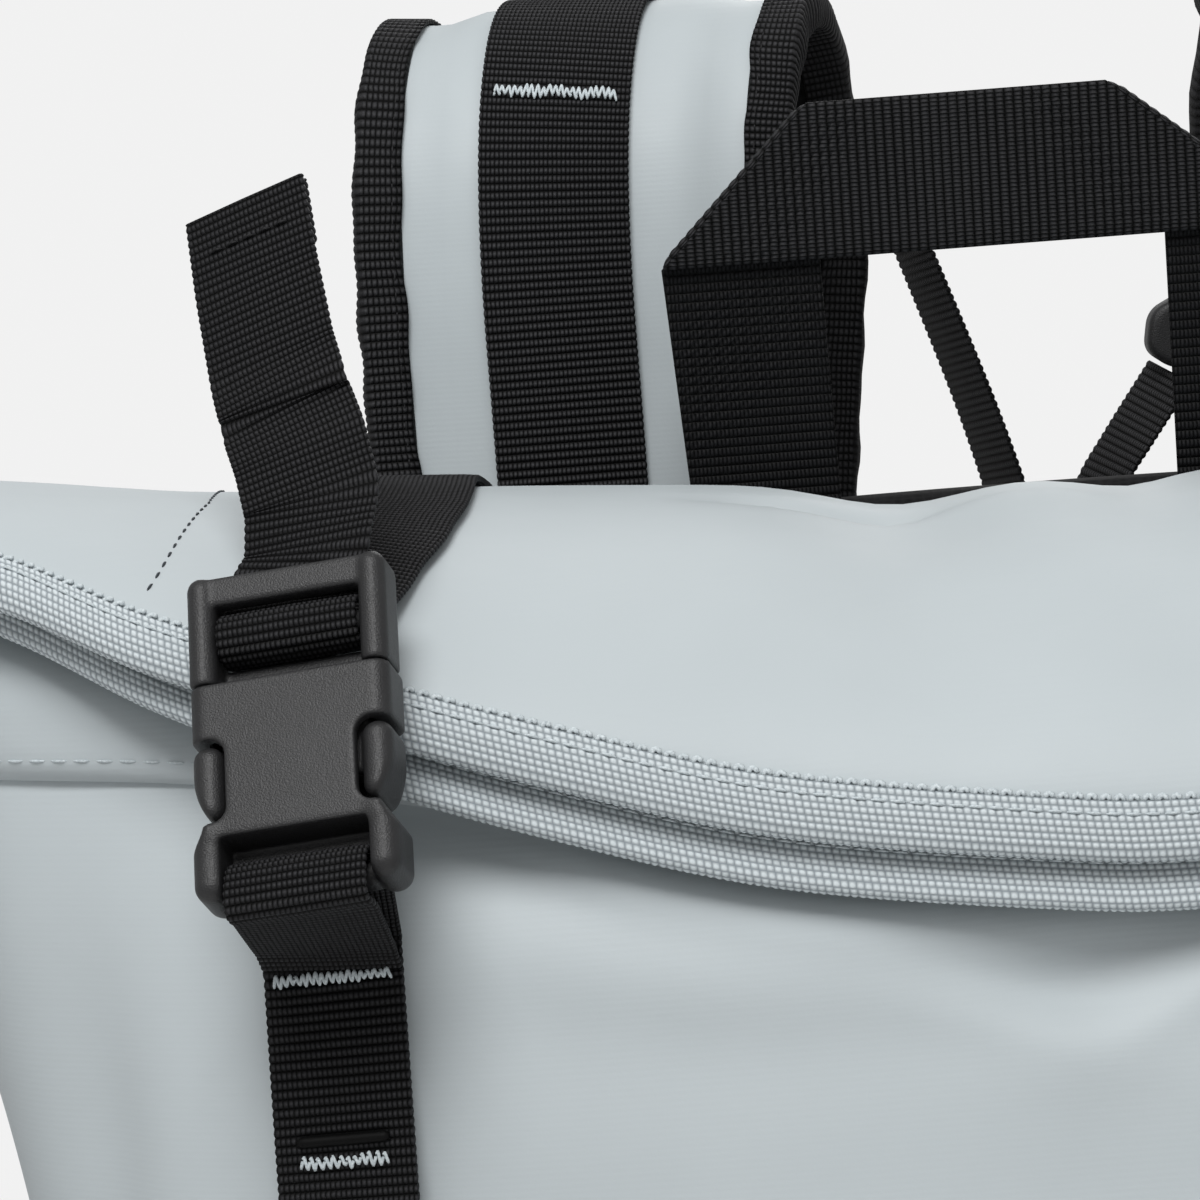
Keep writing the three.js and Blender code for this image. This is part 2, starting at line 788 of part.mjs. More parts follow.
function strapWebbing(side) {
  const frames = strapFrames(side);
  const lift = STRAP_THICK / 2 + 2 * GAP + WEB / 2;
  const path = frames.map(({ at, across, face }) =>
    at.clone().addScaledVector(across, side * WEBBING_OUT).addScaledVector(face, lift),
  );
  return strap(path, frames.map(({ across }) => across), BROAD, WEB);
}

// Lower end of a shoulder strap: adjuster and webbing down to the panel
const LOCK = { width: 33, height: 26, thick: 5, bar: 4, below: 3, rail: 3.2, rows: [0, 0.36, 0.68, 1] };
const ADJUSTER = { footX: 92, footZ: 30, riseZ: 58, pull: 24, stand: 2, steps: 11 };

function lowerEnd(side) {
  const frames = strapFrames(side);
  const last = frames[frames.length - 1];
  const path = strapLine(side);
  const head = tangents(path)[path.length - 1];
  return { ...last, head };
}

function ladderLock(side) {
  const { at, across, face, head } = lowerEnd(side);
  const half = LOCK.width / 2;
  const rows = LOCK.rows.map((s) => s * (LOCK.height - LOCK.bar));
  let made = null;
  const add = (piece) => {
    made = made ? made.add(piece) : piece;
  };
  rows.forEach((v) => add(block(-half, half, -LOCK.thick / 2, LOCK.thick / 2, v, v + LOCK.bar)));
  [-1, 1].forEach((s) => {
    const a = s * half;
    const b = s * (half - LOCK.rail);
    add(block(Math.min(a, b), Math.max(a, b), -LOCK.thick / 2, LOCK.thick / 2, 0, LOCK.height));
  });
  const geometry = geometryFrom(made);
  const start = at.clone().addScaledVector(head, LOCK.below);
  const basis = new THREE.Matrix4().makeBasis(across, face.clone().negate(), head);
  geometry.applyMatrix4(basis.setPosition(start));
  return geometry;
}

function adjusterWebbing(side) {
  const { at, across, head } = lowerEnd(side);
  const from = at.clone().addScaledVector(head, LOCK.below + LOCK.height + 1.5 * GAP);
  const foot = new THREE.Vector3(side * ADJUSTER.footX, PANEL.far + GAP + WEB / 2, ADJUSTER.footZ);
  const rise = foot.clone().setZ(ADJUSTER.riseZ);
  const curve = new THREE.CubicBezierCurve3(
    from,
    from.clone().addScaledVector(head, ADJUSTER.pull),
    rise.clone().add(new THREE.Vector3(0, ADJUSTER.stand, ADJUSTER.pull)),
    rise,
  );
  const path = [...curve.getPoints(ADJUSTER.steps), foot];
  const flat = new THREE.Vector3(1, 0, 0);
  return strap(path, path.map((_, i) => across.clone().lerp(flat, i / (path.length - 1))), BROAD, WEB);
}

// Sternum strap, hanging slack between the two shoulder straps
const STERNUM = { width: 15, y: 148, turn: 61, steps: 24, clipThick: 8 };
const STERNUM_LINE = [
  { x: -12.6, y: 149, z: 452 },
  { x: -9.2, y: 148.6, z: 444 },
  { x: -4.4, y: 148, z: 430 },
  { x: 2.3, y: 147.5, z: 405 },
  { x: 6.6, y: 147, z: 388 },
  { x: 9.4, y: 147, z: 376 },
  { x: 15.6, y: 147, z: 369 },
  { x: 21.4, y: 147, z: 375 },
  { x: 24, y: 147, z: 385 },
  { x: 29.4, y: 147.5, z: 393 },
  { x: 37.8, y: 148, z: 404.2 },
];
const STERNUM_CLIP = [
  [33.4, 408.2],
  [38.4, 404.5],
  [44.6, 408.4],
  [45.3, 414],
  [41, 418.4],
  [34.6, 415.2],
];

function sternumWebbing() {
  const curve = new THREE.CatmullRomCurve3(
    STERNUM_LINE.map(({ x, y, z }) => new THREE.Vector3(x, y, z)),
  );
  const path = curve.getSpacedPoints(STERNUM.steps);
  const angle = radians(STERNUM.turn);
  const across = new THREE.Vector3(-Math.cos(angle), Math.sin(angle), 0);
  return strap(path, path.map(() => across), STERNUM.width, WEB);
}

function sternumBuckle() {
  const half = STERNUM.clipThick / 2;
  return geometryFrom(plate(STERNUM_CLIP, STERNUM.y - half, STERNUM.y + half));
}

// Front buckle: the upright frame is x across, y away from the bag's face, z up
function buckleMatrix() {
  const turn = new THREE.Matrix4().makeRotationZ(radians(-BUCKLE.turnLeft));
  turn.multiply(new THREE.Matrix4().makeRotationX(radians(-BUCKLE.leanBack)));
  turn.multiply(new THREE.Matrix4().makeRotationY(radians(-BUCKLE.roll)));
  return turn.setPosition(BUCKLE.at);
}

function fromBuckle(x, y, z) {
  return new THREE.Vector3(x, y, z).applyMatrix4(buckleMatrix());
}

const FACE_Y = -5;
const THROUGH = 6;
const SOCKET = { corner: 4, bevel: 1.8 };
const SLOT = { half: 10.7, bar: 3.2, open: 4.6, wayBack: -2 };
const HOLLOW = { half: 11.6, deep: 3, low: -13.9 };
const RECESS = { inside: 10, low: -13.9, high: -1.4 };
const TONGUE = { corner: 3, bevel: 1.4, back: 3.4, base: 1.9, outerBarLow: 20.2, outerBarBack: -1 };
const INNER_BAR = { low: 12.4, high: 15.4, front: -3, back: 0.4, inset: 1 };
const PRONG_THICK = 4.2;
const PRONG = [
  { x: 6.2, z: 8.2 },
  { x: 10.6, z: 8.2 },
  { x: 10.6, z: -2.2 },
  { x: 13.4, z: -4 },
  { x: 13.4, z: -9.5 },
  { x: 10.4, z: -11.5 },
  { x: 7, z: -2.2 },
];

function roundedPlate(half, low, high, corner, y0, y1, bevel) {
  const shape = new THREE.Shape();
  const w = half - bevel;
  const a = low + bevel;
  const b = high - bevel;
  shape.moveTo(-w + corner, a);
  shape.lineTo(w - corner, a);
  shape.quadraticCurveTo(w, a, w, a + corner);
  shape.lineTo(w, b - corner);
  shape.quadraticCurveTo(w, b, w - corner, b);
  shape.lineTo(-w + corner, b);
  shape.quadraticCurveTo(-w, b, -w, b - corner);
  shape.lineTo(-w, a + corner);
  shape.quadraticCurveTo(-w, a, -w + corner, a);
  const geometry = new THREE.ExtrudeGeometry(shape, {
    depth: y1 - y0 - 2 * bevel,
    bevelThickness: bevel,
    bevelSize: bevel,
    bevelSegments: 2,
    curveSegments: 4,
  });
  geometry.rotateX(Math.PI / 2);
  geometry.translate(0, y1 - bevel, 0);
  return solid(geometry);
}

function buckleSocket() {
  const half = BUCKLE.width / 2;
  const top = BUCKLE.split - GAP;
  const rear = FACE_Y + BUCKLE.thick;
  let made = roundedPlate(half, BUCKLE.bottom, top, SOCKET.corner, FACE_Y, rear, SOCKET.bevel);
  const slotLow = BUCKLE.bottom + SLOT.bar;
  made = made.subtract(block(-SLOT.half, SLOT.half, -THROUGH, THROUGH, slotLow, slotLow + SLOT.open));
  const below = BUCKLE.bottom - GAP;
  made = made.subtract(block(-SLOT.half, SLOT.half, -THROUGH, SLOT.wayBack, below, slotLow + GAP));
  made = made.subtract(block(-HOLLOW.half, HOLLOW.half, -HOLLOW.deep, HOLLOW.deep, HOLLOW.low, top + GAP));
  [-1, 1].forEach((s) => {
    const a = s * RECESS.inside;
    const b = s * (half + GAP);
    const [near, far] = [Math.min(a, b), Math.max(a, b)];
    made = made.subtract(block(near, far, -HOLLOW.deep, HOLLOW.deep, RECESS.low, RECESS.high));
  });
  return geometryFrom(made);
}

function buckleTongue() {
  const half = BUCKLE.width / 2;
  let made = roundedPlate(half, BUCKLE.split, BUCKLE.top, TONGUE.corner, FACE_Y, TONGUE.back, TONGUE.bevel);
  const low = BUCKLE.split + TONGUE.base;
  made = made.subtract(block(-SLOT.half, SLOT.half, -THROUGH, THROUGH, low, TONGUE.outerBarLow));
  made = made.subtract(block(-SLOT.half, SLOT.half, TONGUE.outerBarBack, THROUGH, low, BUCKLE.top + GAP));
  const reach = half - INNER_BAR.inset;
  const bar = block(-reach, reach, INNER_BAR.front, INNER_BAR.back, INNER_BAR.low, INNER_BAR.high);
  made = made.add(bar);
  [-1, 1].forEach((s) => {
    const outline = PRONG.map(({ x, z }) => [s * x, z]);
    const ordered = s > 0 ? outline : outline.reverse();
    made = made.add(plate(ordered, -PRONG_THICK / 2, PRONG_THICK / 2));
  });
  return geometryFrom(made);
}

function placed(geometry) {
  const copy = geometry.clone();
  copy.applyMatrix4(buckleMatrix());
  return copy;
}

// Closure strap: from the back seam over the roof, through the tongue, out as the free tail
const ROOF_STEPS = 60;
const ROOF_NEAR = 6;
const CLOSURE = { steps: 12, from: 0.05, to: 0.6, backX: -86, frontX: -100, lift: 0.8, rise: 1.6 };
const HUMP = { at: 0.45, turn: 0.35, up: 3.2 };
const TONGUE_TURN = [
  { x: 0, v: 23, n: 3.6 },
  { x: 0, v: 16, n: 3.6 },
  { x: 0, v: 12.6, n: 3.1 },
  { x: 0, v: 11, n: 1 },
  { x: 0, v: 10.9, n: -2 },
  { x: 0, v: 11.6, n: -3.8 },
  { x: 0, v: 13.9, n: -4.3 },
  { x: 0, v: 16.3, n: -3.9 },
  { x: 0, v: 17.3, n: -2.2 },
  { x: 0, v: 17.7, n: -0.4 },
  { x: 0, v: 19.2, n: 0.9 },
  { x: 0, v: 25, n: 1.4 },
  { x: 2, v: 28.6, n: 1.4 },
];
const TAIL_LINE = [
  { x: -104.8, y: -62, z: 403 },
  { x: -107.2, y: -54, z: 414 },
  { x: -110, y: -45.5, z: 426 },
  { x: -111.8, y: -36.5, z: 438 },
  { x: -113, y: -29, z: 449 },
];
const TAIL_ACROSS = { turn: 19, rise: 0.22 };

function roofPoint(x, share, lift) {
  const surface = (at) => resampled(outerLayer(at / WING_HALF, DENSE), ROOF_STEPS);
  const place = surface(x);
  const k = Math.round(share * ROOF_STEPS);
  const out = layerNormals(place)[k];
  const side = surface(x + ROOF_NEAR)[k].sub(surface(x - ROOF_NEAR)[k]).normalize();
  return { at: place[k].addScaledVector(out, COLLAR_WALL / 2 + GAP + WEB / 2 + lift), across: side };
}

function closureStrap() {
  const path = [];
  const sides = [];
  const roof = CLOSURE.steps;
  for (let k = 0; k <= roof; k += 1) {
    const share = mix(CLOSURE.from, CLOSURE.to, k / roof);
    const near = ease(k / roof);
    const x = mix(CLOSURE.backX, CLOSURE.frontX, near);
    const spot = roofPoint(x, share, CLOSURE.lift + CLOSURE.rise * near);
    path.push(spot.at);
    sides.push(spot.across);
  }
  const right = fromBuckle(1, 0, 0).sub(fromBuckle(0, 0, 0));
  const hump = path[roof].clone().lerp(fromBuckle(0, TONGUE_TURN[0].n, TONGUE_TURN[0].v), HUMP.at);
  hump.z += HUMP.up;
  path.push(hump);
  sides.push(sides[roof].clone().lerp(right, HUMP.turn));
  TONGUE_TURN.forEach(({ x, v, n }) => {
    path.push(fromBuckle(x, n, v));
    sides.push(right.clone());
  });
  const turn = radians(TAIL_ACROSS.turn);
  const lean = new THREE.Vector3(Math.cos(turn), -Math.sin(turn), TAIL_ACROSS.rise).normalize();
  TAIL_LINE.forEach(({ x, y, z }, k) => {
    path.push(new THREE.Vector3(x, y, z));
    sides.push(right.clone().lerp(lean, (k + 1) / TAIL_LINE.length));
  });
  return strap(path, sides, NARROW, WEB);
}

// Front strap: a sewn end over the front of the body, up round the socket's bar, then down the body
const FRONT = { x: -107, stand: 0.9 };
const FRONT_ACROSS = new THREE.Vector3(0.97, -0.2, 0).normalize();
const FRONT_END_Z = [288, 302, 318, 331, 339, 342];
const FRONT_SHELF = { x: -107.6, y: -76, z: 345.4 };
const SOCKET_TURN = [
  { v: -26.4, n: -1 },
  { v: -27.1, n: -3.2 },
  { v: -26.6, n: -4.8 },
  { v: -25, n: -5.1 },
  { v: -22, n: -4.4 },
  { v: -20, n: -3.7 },
  { v: -18.6, n: -1.5 },
  { v: -18.6, n: 3.6 },
  { v: -19, n: 6.2 },
];
const FRONT_LANDING = { x: -107.2, y: -73.6, z: 349.4 };
const FRONT_DOWN_Z = [346, 340, 328, 308, 275, 235, 185, 130, 80, 40, 24];

function frontStrap() {
  const right = fromBuckle(1, 0, 0).sub(fromBuckle(0, 0, 0));
  const path = [];
  const sides = [];
  const layer = WEB + GAP;
  const rest = (z, lift) => {
    const p = bodyFront(FRONT.x, z);
    p.y -= GAP + WEB / 2 + FRONT.stand + lift;
    return p;
  };
  FRONT_END_Z.forEach((z) => {
    path.push(rest(z, layer));
    sides.push(FRONT_ACROSS.clone());
  });
  path.push(new THREE.Vector3(FRONT_SHELF.x, FRONT_SHELF.y, FRONT_SHELF.z));
  sides.push(FRONT_ACROSS.clone());
  SOCKET_TURN.forEach(({ v, n }) => {
    path.push(fromBuckle(0, n, v));
    sides.push(right.clone());
  });
  path.push(new THREE.Vector3(FRONT_LANDING.x, FRONT_LANDING.y, FRONT_LANDING.z));
  sides.push(right.clone().lerp(FRONT_ACROSS, 0.5));
  FRONT_DOWN_Z.forEach((z) => {
    path.push(rest(z, 0));
    sides.push(FRONT_ACROSS.clone());
  });
  return strap(path, sides, NARROW, WEB);
}

// Colours and finishes
const finish = (color, roughness) => new THREE.MeshStandardMaterial({ color, roughness, metalness: 0 });
const TARP = [0xc3cbcd, 0.55];
const GROSGRAIN = [0xb2b9bc, 0.85];
const BLACK_WEB = [0x1b1b1c, 0.85];
const BLACK_CLOTH = [0x202022, 0.9];
const BLACK_PLASTIC = [0x2a2b2c, 0.45];

const backpack = new THREE.Group();
backpack.name = "cooler_backpack";

function put(name, geometry, [color, roughness]) {
  const mesh = new THREE.Mesh(geometry, finish(color, roughness));
  mesh.name = name;
  backpack.add(mesh);
}

put("body_shell", bodyShell(), TARP);
put("roll_collar", rollCollar(), TARP);
put("lip_tape_outer", lipTape(1), GROSGRAIN);
put("lip_tape_inner", lipTape(-1), GROSGRAIN);
put("back_panel", backPanel(), BLACK_CLOTH);
put("haul_handle", haulHandle(), BLACK_WEB);

[
  ["left", -1],
  ["right", 1],
].forEach(([name, side]) => {
  put("shoulder_strap_" + name, strapPad(side), TARP);
  put("strap_binding_inner_" + name, strapBinding(side, -side), BLACK_CLOTH);
  put("strap_binding_outer_" + name, strapBinding(side, side), BLACK_CLOTH);
  put("strap_webbing_" + name, strapWebbing(side), BLACK_WEB);
  put("ladder_lock_" + name, ladderLock(side), BLACK_PLASTIC);
  put("adjuster_webbing_" + name, adjusterWebbing(side), BLACK_WEB);
});

put("sternum_webbing", sternumWebbing(), BLACK_WEB);
put("sternum_buckle", sternumBuckle(), BLACK_PLASTIC);

const socket = placed(buckleSocket());
const tongue = placed(buckleTongue());
const closure = closureStrap();
const front = frontStrap();
put("buckle_socket_left", socket, BLACK_PLASTIC);
put("buckle_tongue_left", tongue, BLACK_PLASTIC);
put("closure_strap_left", closure, BLACK_WEB);
put("front_strap_left", front, BLACK_WEB);
put("buckle_socket_right", mirrored(socket), BLACK_PLASTIC);
put("buckle_tongue_right", mirrored(tongue), BLACK_PLASTIC);
put("closure_strap_right", mirrored(closure), BLACK_WEB);
put("front_strap_right", mirrored(front), BLACK_WEB);

export default backpack;
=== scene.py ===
"""Roll-top cooler backpack: cloth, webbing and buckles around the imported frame, with light and camera.

Shapes are worked out in millimetres, with Z up and the front facing -Y, and put into metres at the end.
"""
import math

import bmesh
import bpy
import numpy as np
import openvdb
from mathutils import Matrix


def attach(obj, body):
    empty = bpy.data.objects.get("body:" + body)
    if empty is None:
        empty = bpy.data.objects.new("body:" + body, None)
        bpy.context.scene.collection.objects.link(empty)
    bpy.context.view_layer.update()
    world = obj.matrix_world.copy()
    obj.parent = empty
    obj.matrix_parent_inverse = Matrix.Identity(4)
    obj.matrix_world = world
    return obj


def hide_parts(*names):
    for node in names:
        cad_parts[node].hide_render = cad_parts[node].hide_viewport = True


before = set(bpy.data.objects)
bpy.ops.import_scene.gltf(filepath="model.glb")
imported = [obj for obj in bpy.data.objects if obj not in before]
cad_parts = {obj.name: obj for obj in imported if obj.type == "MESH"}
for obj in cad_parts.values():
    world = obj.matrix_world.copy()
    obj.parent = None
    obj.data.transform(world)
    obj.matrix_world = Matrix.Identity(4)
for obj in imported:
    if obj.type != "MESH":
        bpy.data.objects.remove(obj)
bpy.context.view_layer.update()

MM = 0.001
BODY_NAME = "root"
rng = np.random.default_rng(11)


# Arithmetic
def mix(a, b, s):
    return a + (b - a) * s


def ease(v):
    s = np.clip(v, 0, 1)
    return s * s * (3 - 2 * s)


def unit(v):
    return v / np.maximum(np.linalg.norm(v, axis=-1, keepdims=True), 1e-9)


def vec(*parts):
    return np.stack(np.broadcast_arrays(*[np.asarray(p, float) for p in parts]), -1)


def bell(v):
    return np.exp(-v * v)


def table(names, rows):
    return {name: np.array(column, float) for name, column in zip(names.split(), zip(*rows))}


def along(rows, key, at, column):
    """Smooth reading of one column of a table."""
    k, v = rows[key], rows[column]
    x = np.clip(at, k[0], k[-1])
    i = np.clip(np.searchsorted(k, x, side="left") - 1, 0, len(k) - 2)
    low = np.maximum(np.arange(len(k)) - 1, 0)
    high = np.minimum(np.arange(len(k)) + 1, len(k) - 1)
    slope = (v[high] - v[low]) / (k[high] - k[low])
    span = k[i + 1] - k[i]
    s = (x - k[i]) / span
    s2, s3 = s * s, s * s * s
    return (
        (2 * s3 - 3 * s2 + 1) * v[i]
        + (s3 - 2 * s2 + s) * span * slope[i]
        + (3 * s2 - 2 * s3) * v[i + 1]
        + (s3 - s2) * span * slope[i + 1]
    )


# Lines of points
def lengths(line):
    return np.concatenate([[0], np.cumsum(np.linalg.norm(np.diff(line, axis=0), axis=1))])


def at_lengths(line, want, guide=None):
    """Values of a line at given lengths along it, or along a guide with as many points."""
    run = lengths(line if guide is None else guide)
    return np.stack([np.interp(want, run, line[:, k]) for k in range(line.shape[1])], -1)


def resampled(line, count):
    return at_lengths(line, np.linspace(0, lengths(line)[-1], count + 1))


def heads(line):
    return unit(np.gradient(line, axis=0))


def softened(line, reach, step):
    """A line with its corners eased over a given reach. The ends stay."""
    sigma = max(reach / step, 0.5)
    half = int(3 * sigma) + 1
    weights = np.exp(-0.5 * (np.arange(-half, half + 1) / sigma) ** 2)
    weights /= weights.sum()
    head = 2 * line[0] - line[1 : half + 1][::-1]
    tail = 2 * line[-1] - line[-half - 1 : -1][::-1]
    long = np.concatenate([head, line, tail])
    return np.stack([np.convolve(long[:, k], weights, "valid") for k in range(line.shape[1])], -1)


# Meshes
def grid_faces(rows, columns, wrap_rows=False, wrap_columns=False):
    r = np.arange(rows if wrap_rows else rows - 1)
    c = np.arange(columns if wrap_columns else columns - 1)
    r, c = np.meshgrid(r, c, indexing="ij")
    r2, c2 = (r + 1) % rows, (c + 1) % columns
    corners = [r * columns + c, r * columns + c2, r2 * columns + c2, r2 * columns + c]
    return np.stack(corners, -1).reshape(-1, 4)


def outward(points, faces):
    """The faces of a closed surface, turned to point out."""
    a, b, c = points[faces[:, 0]], points[faces[:, 1]], points[faces[:, 2]]
    volume = np.einsum("ij,ij->i", a, np.cross(b, c)).sum()
    if faces.shape[1] == 4:
        d = points[faces[:, 3]]
        volume += np.einsum("ij,ij->i", a, np.cross(c, d)).sum()
    return faces[:, ::-1] if volume < 0 else faces


class Piece:
    """Vertices, faces, a weave coordinate for each vertex and a finish for each face."""

    def __init__(self):
        self.points = []
        self.weave = []
        self.faces = []
        self.finish = []
        self.count = 0

    def add(self, points, faces, weave=None, finish=0, closed=True):
        points = np.asarray(points, float).reshape(-1, 3)
        faces = np.asarray(faces, int)
        if closed:
            faces = outward(points, faces)
        self.points.append(points)
        weave = np.zeros_like(points) if weave is None else np.asarray(weave, float)
        self.weave.append(weave.reshape(-1, 3))
        self.faces.append(faces + self.count)
        self.finish.append(np.full(len(faces), finish))
        self.count += len(points)
        return self

    def add_rings(self, rings, weave=None, finish=0):
        """Rings joined one to the next and closed at both ends by a fan."""
        rings = np.asarray(rings, float)
        rows, columns = rings.shape[:2]
        points = np.concatenate([rings.reshape(-1, 3), rings[0].mean(0)[None], rings[-1].mean(0)[None]])
        if weave is not None:
            weave = np.asarray(weave, float)
            weave = np.concatenate([weave.reshape(-1, 3), weave[0].mean(0)[None], weave[-1].mean(0)[None]])
        sides = grid_faces(rows, columns, wrap_columns=True)
        k = np.arange(columns)
        first = np.stack([np.full(columns, rows * columns), (k + 1) % columns, k], -1)
        start = (rows - 1) * columns
        last = np.stack([np.full(columns, rows * columns + 1), start + k, start + (k + 1) % columns], -1)
        turned = outward(points, sides) is not sides
        self.add(points, sides[:, ::-1] if turned else sides, weave, finish, closed=False)
        offset = self.count - len(points)
        for fan in (first, last):
            self.faces.append((fan[:, ::-1] if turned else fan) + offset)
            self.finish.append(np.full(columns, finish))
        return self

    def split_finish(self, columns):
        """The second finish for the faces between columns from a given one on, in rings of columns."""
        around = 2 * columns
        for faces, finish in zip(self.faces, self.finish):
            if faces.shape[1] == 4:
                finish[(faces % around).min(1) >= columns - 1] = 1
        return self

    def mirrored(self):
        other = Piece()
        other.points = [p * np.array([-1, 1, 1]) for p in self.points]
        other.weave = list(self.weave)
        other.faces = [f[:, ::-1] for f in self.faces]
        other.finish = list(self.finish)
        other.count = self.count
        return other

    def build(self, name, materials, node, slot):
        mesh = bpy.data.meshes.new(name)
        points = np.concatenate(self.points) * MM
        loops = np.concatenate([f.ravel() for f in self.faces])
        sizes = np.concatenate([np.full(len(f), f.shape[1]) for f in self.faces])
        mesh.vertices.add(len(points))
        mesh.vertices.foreach_set("co", points.ravel())
        mesh.loops.add(len(loops))
        mesh.loops.foreach_set("vertex_index", loops)
        mesh.polygons.add(len(sizes))
        mesh.polygons.foreach_set("loop_start", np.concatenate([[0], np.cumsum(sizes)[:-1]]))
        mesh.polygons.foreach_set("material_index", np.concatenate(self.finish))
        mesh.polygons.foreach_set("use_smooth", np.ones(len(sizes), bool))
        mesh.update(calc_edges=True)
        weave = mesh.attributes.new("weave", "FLOAT_VECTOR", "POINT")
        weave.data.foreach_set("vector", np.concatenate(self.weave).ravel())
        for material in materials:
            mesh.materials.append(material)
        made = bpy.data.objects.new(name, mesh)
        bpy.context.scene.collection.objects.link(made)
        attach(made, BODY_NAME)
        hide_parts(node)
        return made


# Sizes shared by all pieces
CREST_Z = 400
SEAM_HALF = 175
WING_HALF = 212
GAP = 0.3

# Insulated body: plan sections from the base up to the rim
BODY_WALL = 6
RIM_WALL = 2.6
FLOOR_Z = 8
RIM_Z = 372
DIP_START = 250
BODY = table(
    "z half front back front_square back_square",
    [
        (0, 130, -70, 56, 3.8, 5),
        (3, 135.5, -75.5, 61.5, 3.8, 5),
        (9, 139, -79.5, 65.5, 3.8, 5.4),
        (22, 140.5, -82, 68, 3.7, 6),
        (80, 143, -86, 69.6, 3.5, 6),
        (150, 146, -88.5, 69.8, 3.3, 6),
        (220, 149.5, -89.5, 69.8, 3.2, 6),
        (270, 153, -89, 69.6, 3.1, 5.4),
        (302, 157, -87, 69, 3, 4.6),
        (324, 161, -83, 68, 2.9, 3.8),
        (348, 167, -76, 66, 2.8, 3.2),
        (372, 175, -66, 62, 2.6, 2.8),
    ],
)
SEAM_LINE = table("x drop", [(0, 53), (50, 47), (95, 37), (124, 32.6), (153, 31), (175, 31)])
BACK_SEAM_DROP = 31

# Rolled collar: the roof and the flap that folds forward
COLLAR_WALL = 1.4
LAYER_STEP = 5.3
COLLAR = table(
    "x crest_y crest_z lip_y lip_z fold_y lip_step",
    [
        (0, 5, -5.4, -79.5, -49.2, 45, 7.1),
        (22, 5, -4, -79.5, -48.2, 45, 7.2),
        (54, 4, -1.9, -79, -42.4, 44, 7.4),
        (80, 2, 0.4, -77.5, -32.4, 41, 7.4),
        (108, -1, 2.6, -74, -21.6, 36, 6.8),
        (130, -4, 4.6, -66, -13.6, 28, 5.6),
        (152, -7, 7.8, -51, -4.2, 18, 4.2),
        (180, -9, 11.4, -42, 2.2, 6, 1.4),
        (212, -8, 13.4, -32, 5.6, -4.5, 0.2),
    ],
)
MIDDLE_REACH, MIDDLE_SPREAD = 22, 60
CREST_DENTS = table("x depth spread", [(-19, 4.0, 15), (16, 1.4, 9)])
BACK_SHOULDER = 3.2
FRONT_BROW = 1.9
UNDER_BROW = 1.8

# Plan stations: along the front from left to right, then back along the rear
STATIONS = 150
COLUMNS = 2 * STATIONS
FRONT_T = -np.cos(np.pi * np.arange(STATIONS + 1) / STATIONS)
T = np.concatenate([FRONT_T, FRONT_T[1:-1][::-1]])
SIDE = np.concatenate([-np.ones(STATIONS + 1), np.ones(STATIONS - 1)])


def seam_drop(t, side):
    return np.where(side > 0, BACK_SEAM_DROP, along(SEAM_LINE, "x", np.abs(t) * SEAM_HALF, "drop"))


def body_point(t, side, z):
    """A point of the body's outer face: z is the nominal height, the rim dips with the seam."""
    t, side, z = np.broadcast_arrays(np.asarray(t, float), np.asarray(side, float), np.asarray(z, float))
    front, back = along(BODY, "z", z, "front"), along(BODY, "z", z, "back")
    square = np.where(side < 0, along(BODY, "z", z, "front_square"), along(BODY, "z", z, "back_square"))
    reach = np.maximum(1 - np.abs(t) ** square, 0) ** (1 / square)
    dip = CREST_Z - seam_drop(t, side) - RIM_Z
    rise = z + dip * ease((z - DIP_START) / (RIM_Z - DIP_START))
    return vec(t * along(BODY, "z", z, "half"), (front + back) / 2 + side * reach * (back - front) / 2, rise)


def plan_inward(rings):
    """Inward direction in plan at each point of rings of columns."""
    d = np.roll(rings, -1, axis=-2) - np.roll(rings, 1, axis=-2)
    return unit(vec(-d[..., 1], d[..., 0], np.zeros_like(d[..., 0])))


def body_front(x, z):
    """The body's front face at given places across and up."""
    x, z = np.broadcast_arrays(np.asarray(x, float), np.asarray(z, float))
    low, high = np.zeros_like(z), np.full_like(z, RIM_Z)
    for _ in range(40):
        middle = (low + high) / 2
        t = np.clip(x / along(BODY, "z", middle, "half"), -1, 1)
        point = body_point(t, -1.0, middle)
        below = point[..., 2] < z
        low, high = np.where(below, middle, low), np.where(below, high, middle)
    return point


# Soft dents of the body's front face: place, reach across and up, depth, slant of the fold's line
BODY_DENTS = table(
    "x z across up depth slant",
    [
        (-74, 346, 38, 12, -3.6, -0.12),
        (58, 343, 30, 11, -3.4, 0.1),
        (-30, 340, 18, 9, -1.6, 0.0),
        (-50, 337, 26, 8, -2.0, -0.1),
        (-22, 339, 15, 5, 0.7, -0.3),
        (10, 338, 15, 5, 1.0, 0.3),
        (-5, 334, 9, 5, 1.3, 0.0),
        (-1, 323, 14, 7, -1.5, 0.0),
        (-17, 329, 13, 4, -0.9, -0.3),
        (13, 330, 13, 4, -1.1, 0.35),
        (-68, 299, 36, 17, 2.8, 0.05),
        (10, 297, 40, 16, 3.8, -0.08),
        (-144, 316, 8, 30, 3.6, 0.03),
        (144, 316, 8, 30, 2.4, -0.03),
        (-84, 230, 30, 60, 0.9, 0.1),
        (72, 210, 40, 70, 1.0, -0.1),
        (0, 110, 70, 60, -1.0, 0.0),
    ],
)
UNDER_LIP = {"out": 3.6, "below": 4.5, "reach": 5.5, "end": 88, "fade": 25}
LIP_VALLEY = {"x": 4, "spread": 20, "share": 0.6}


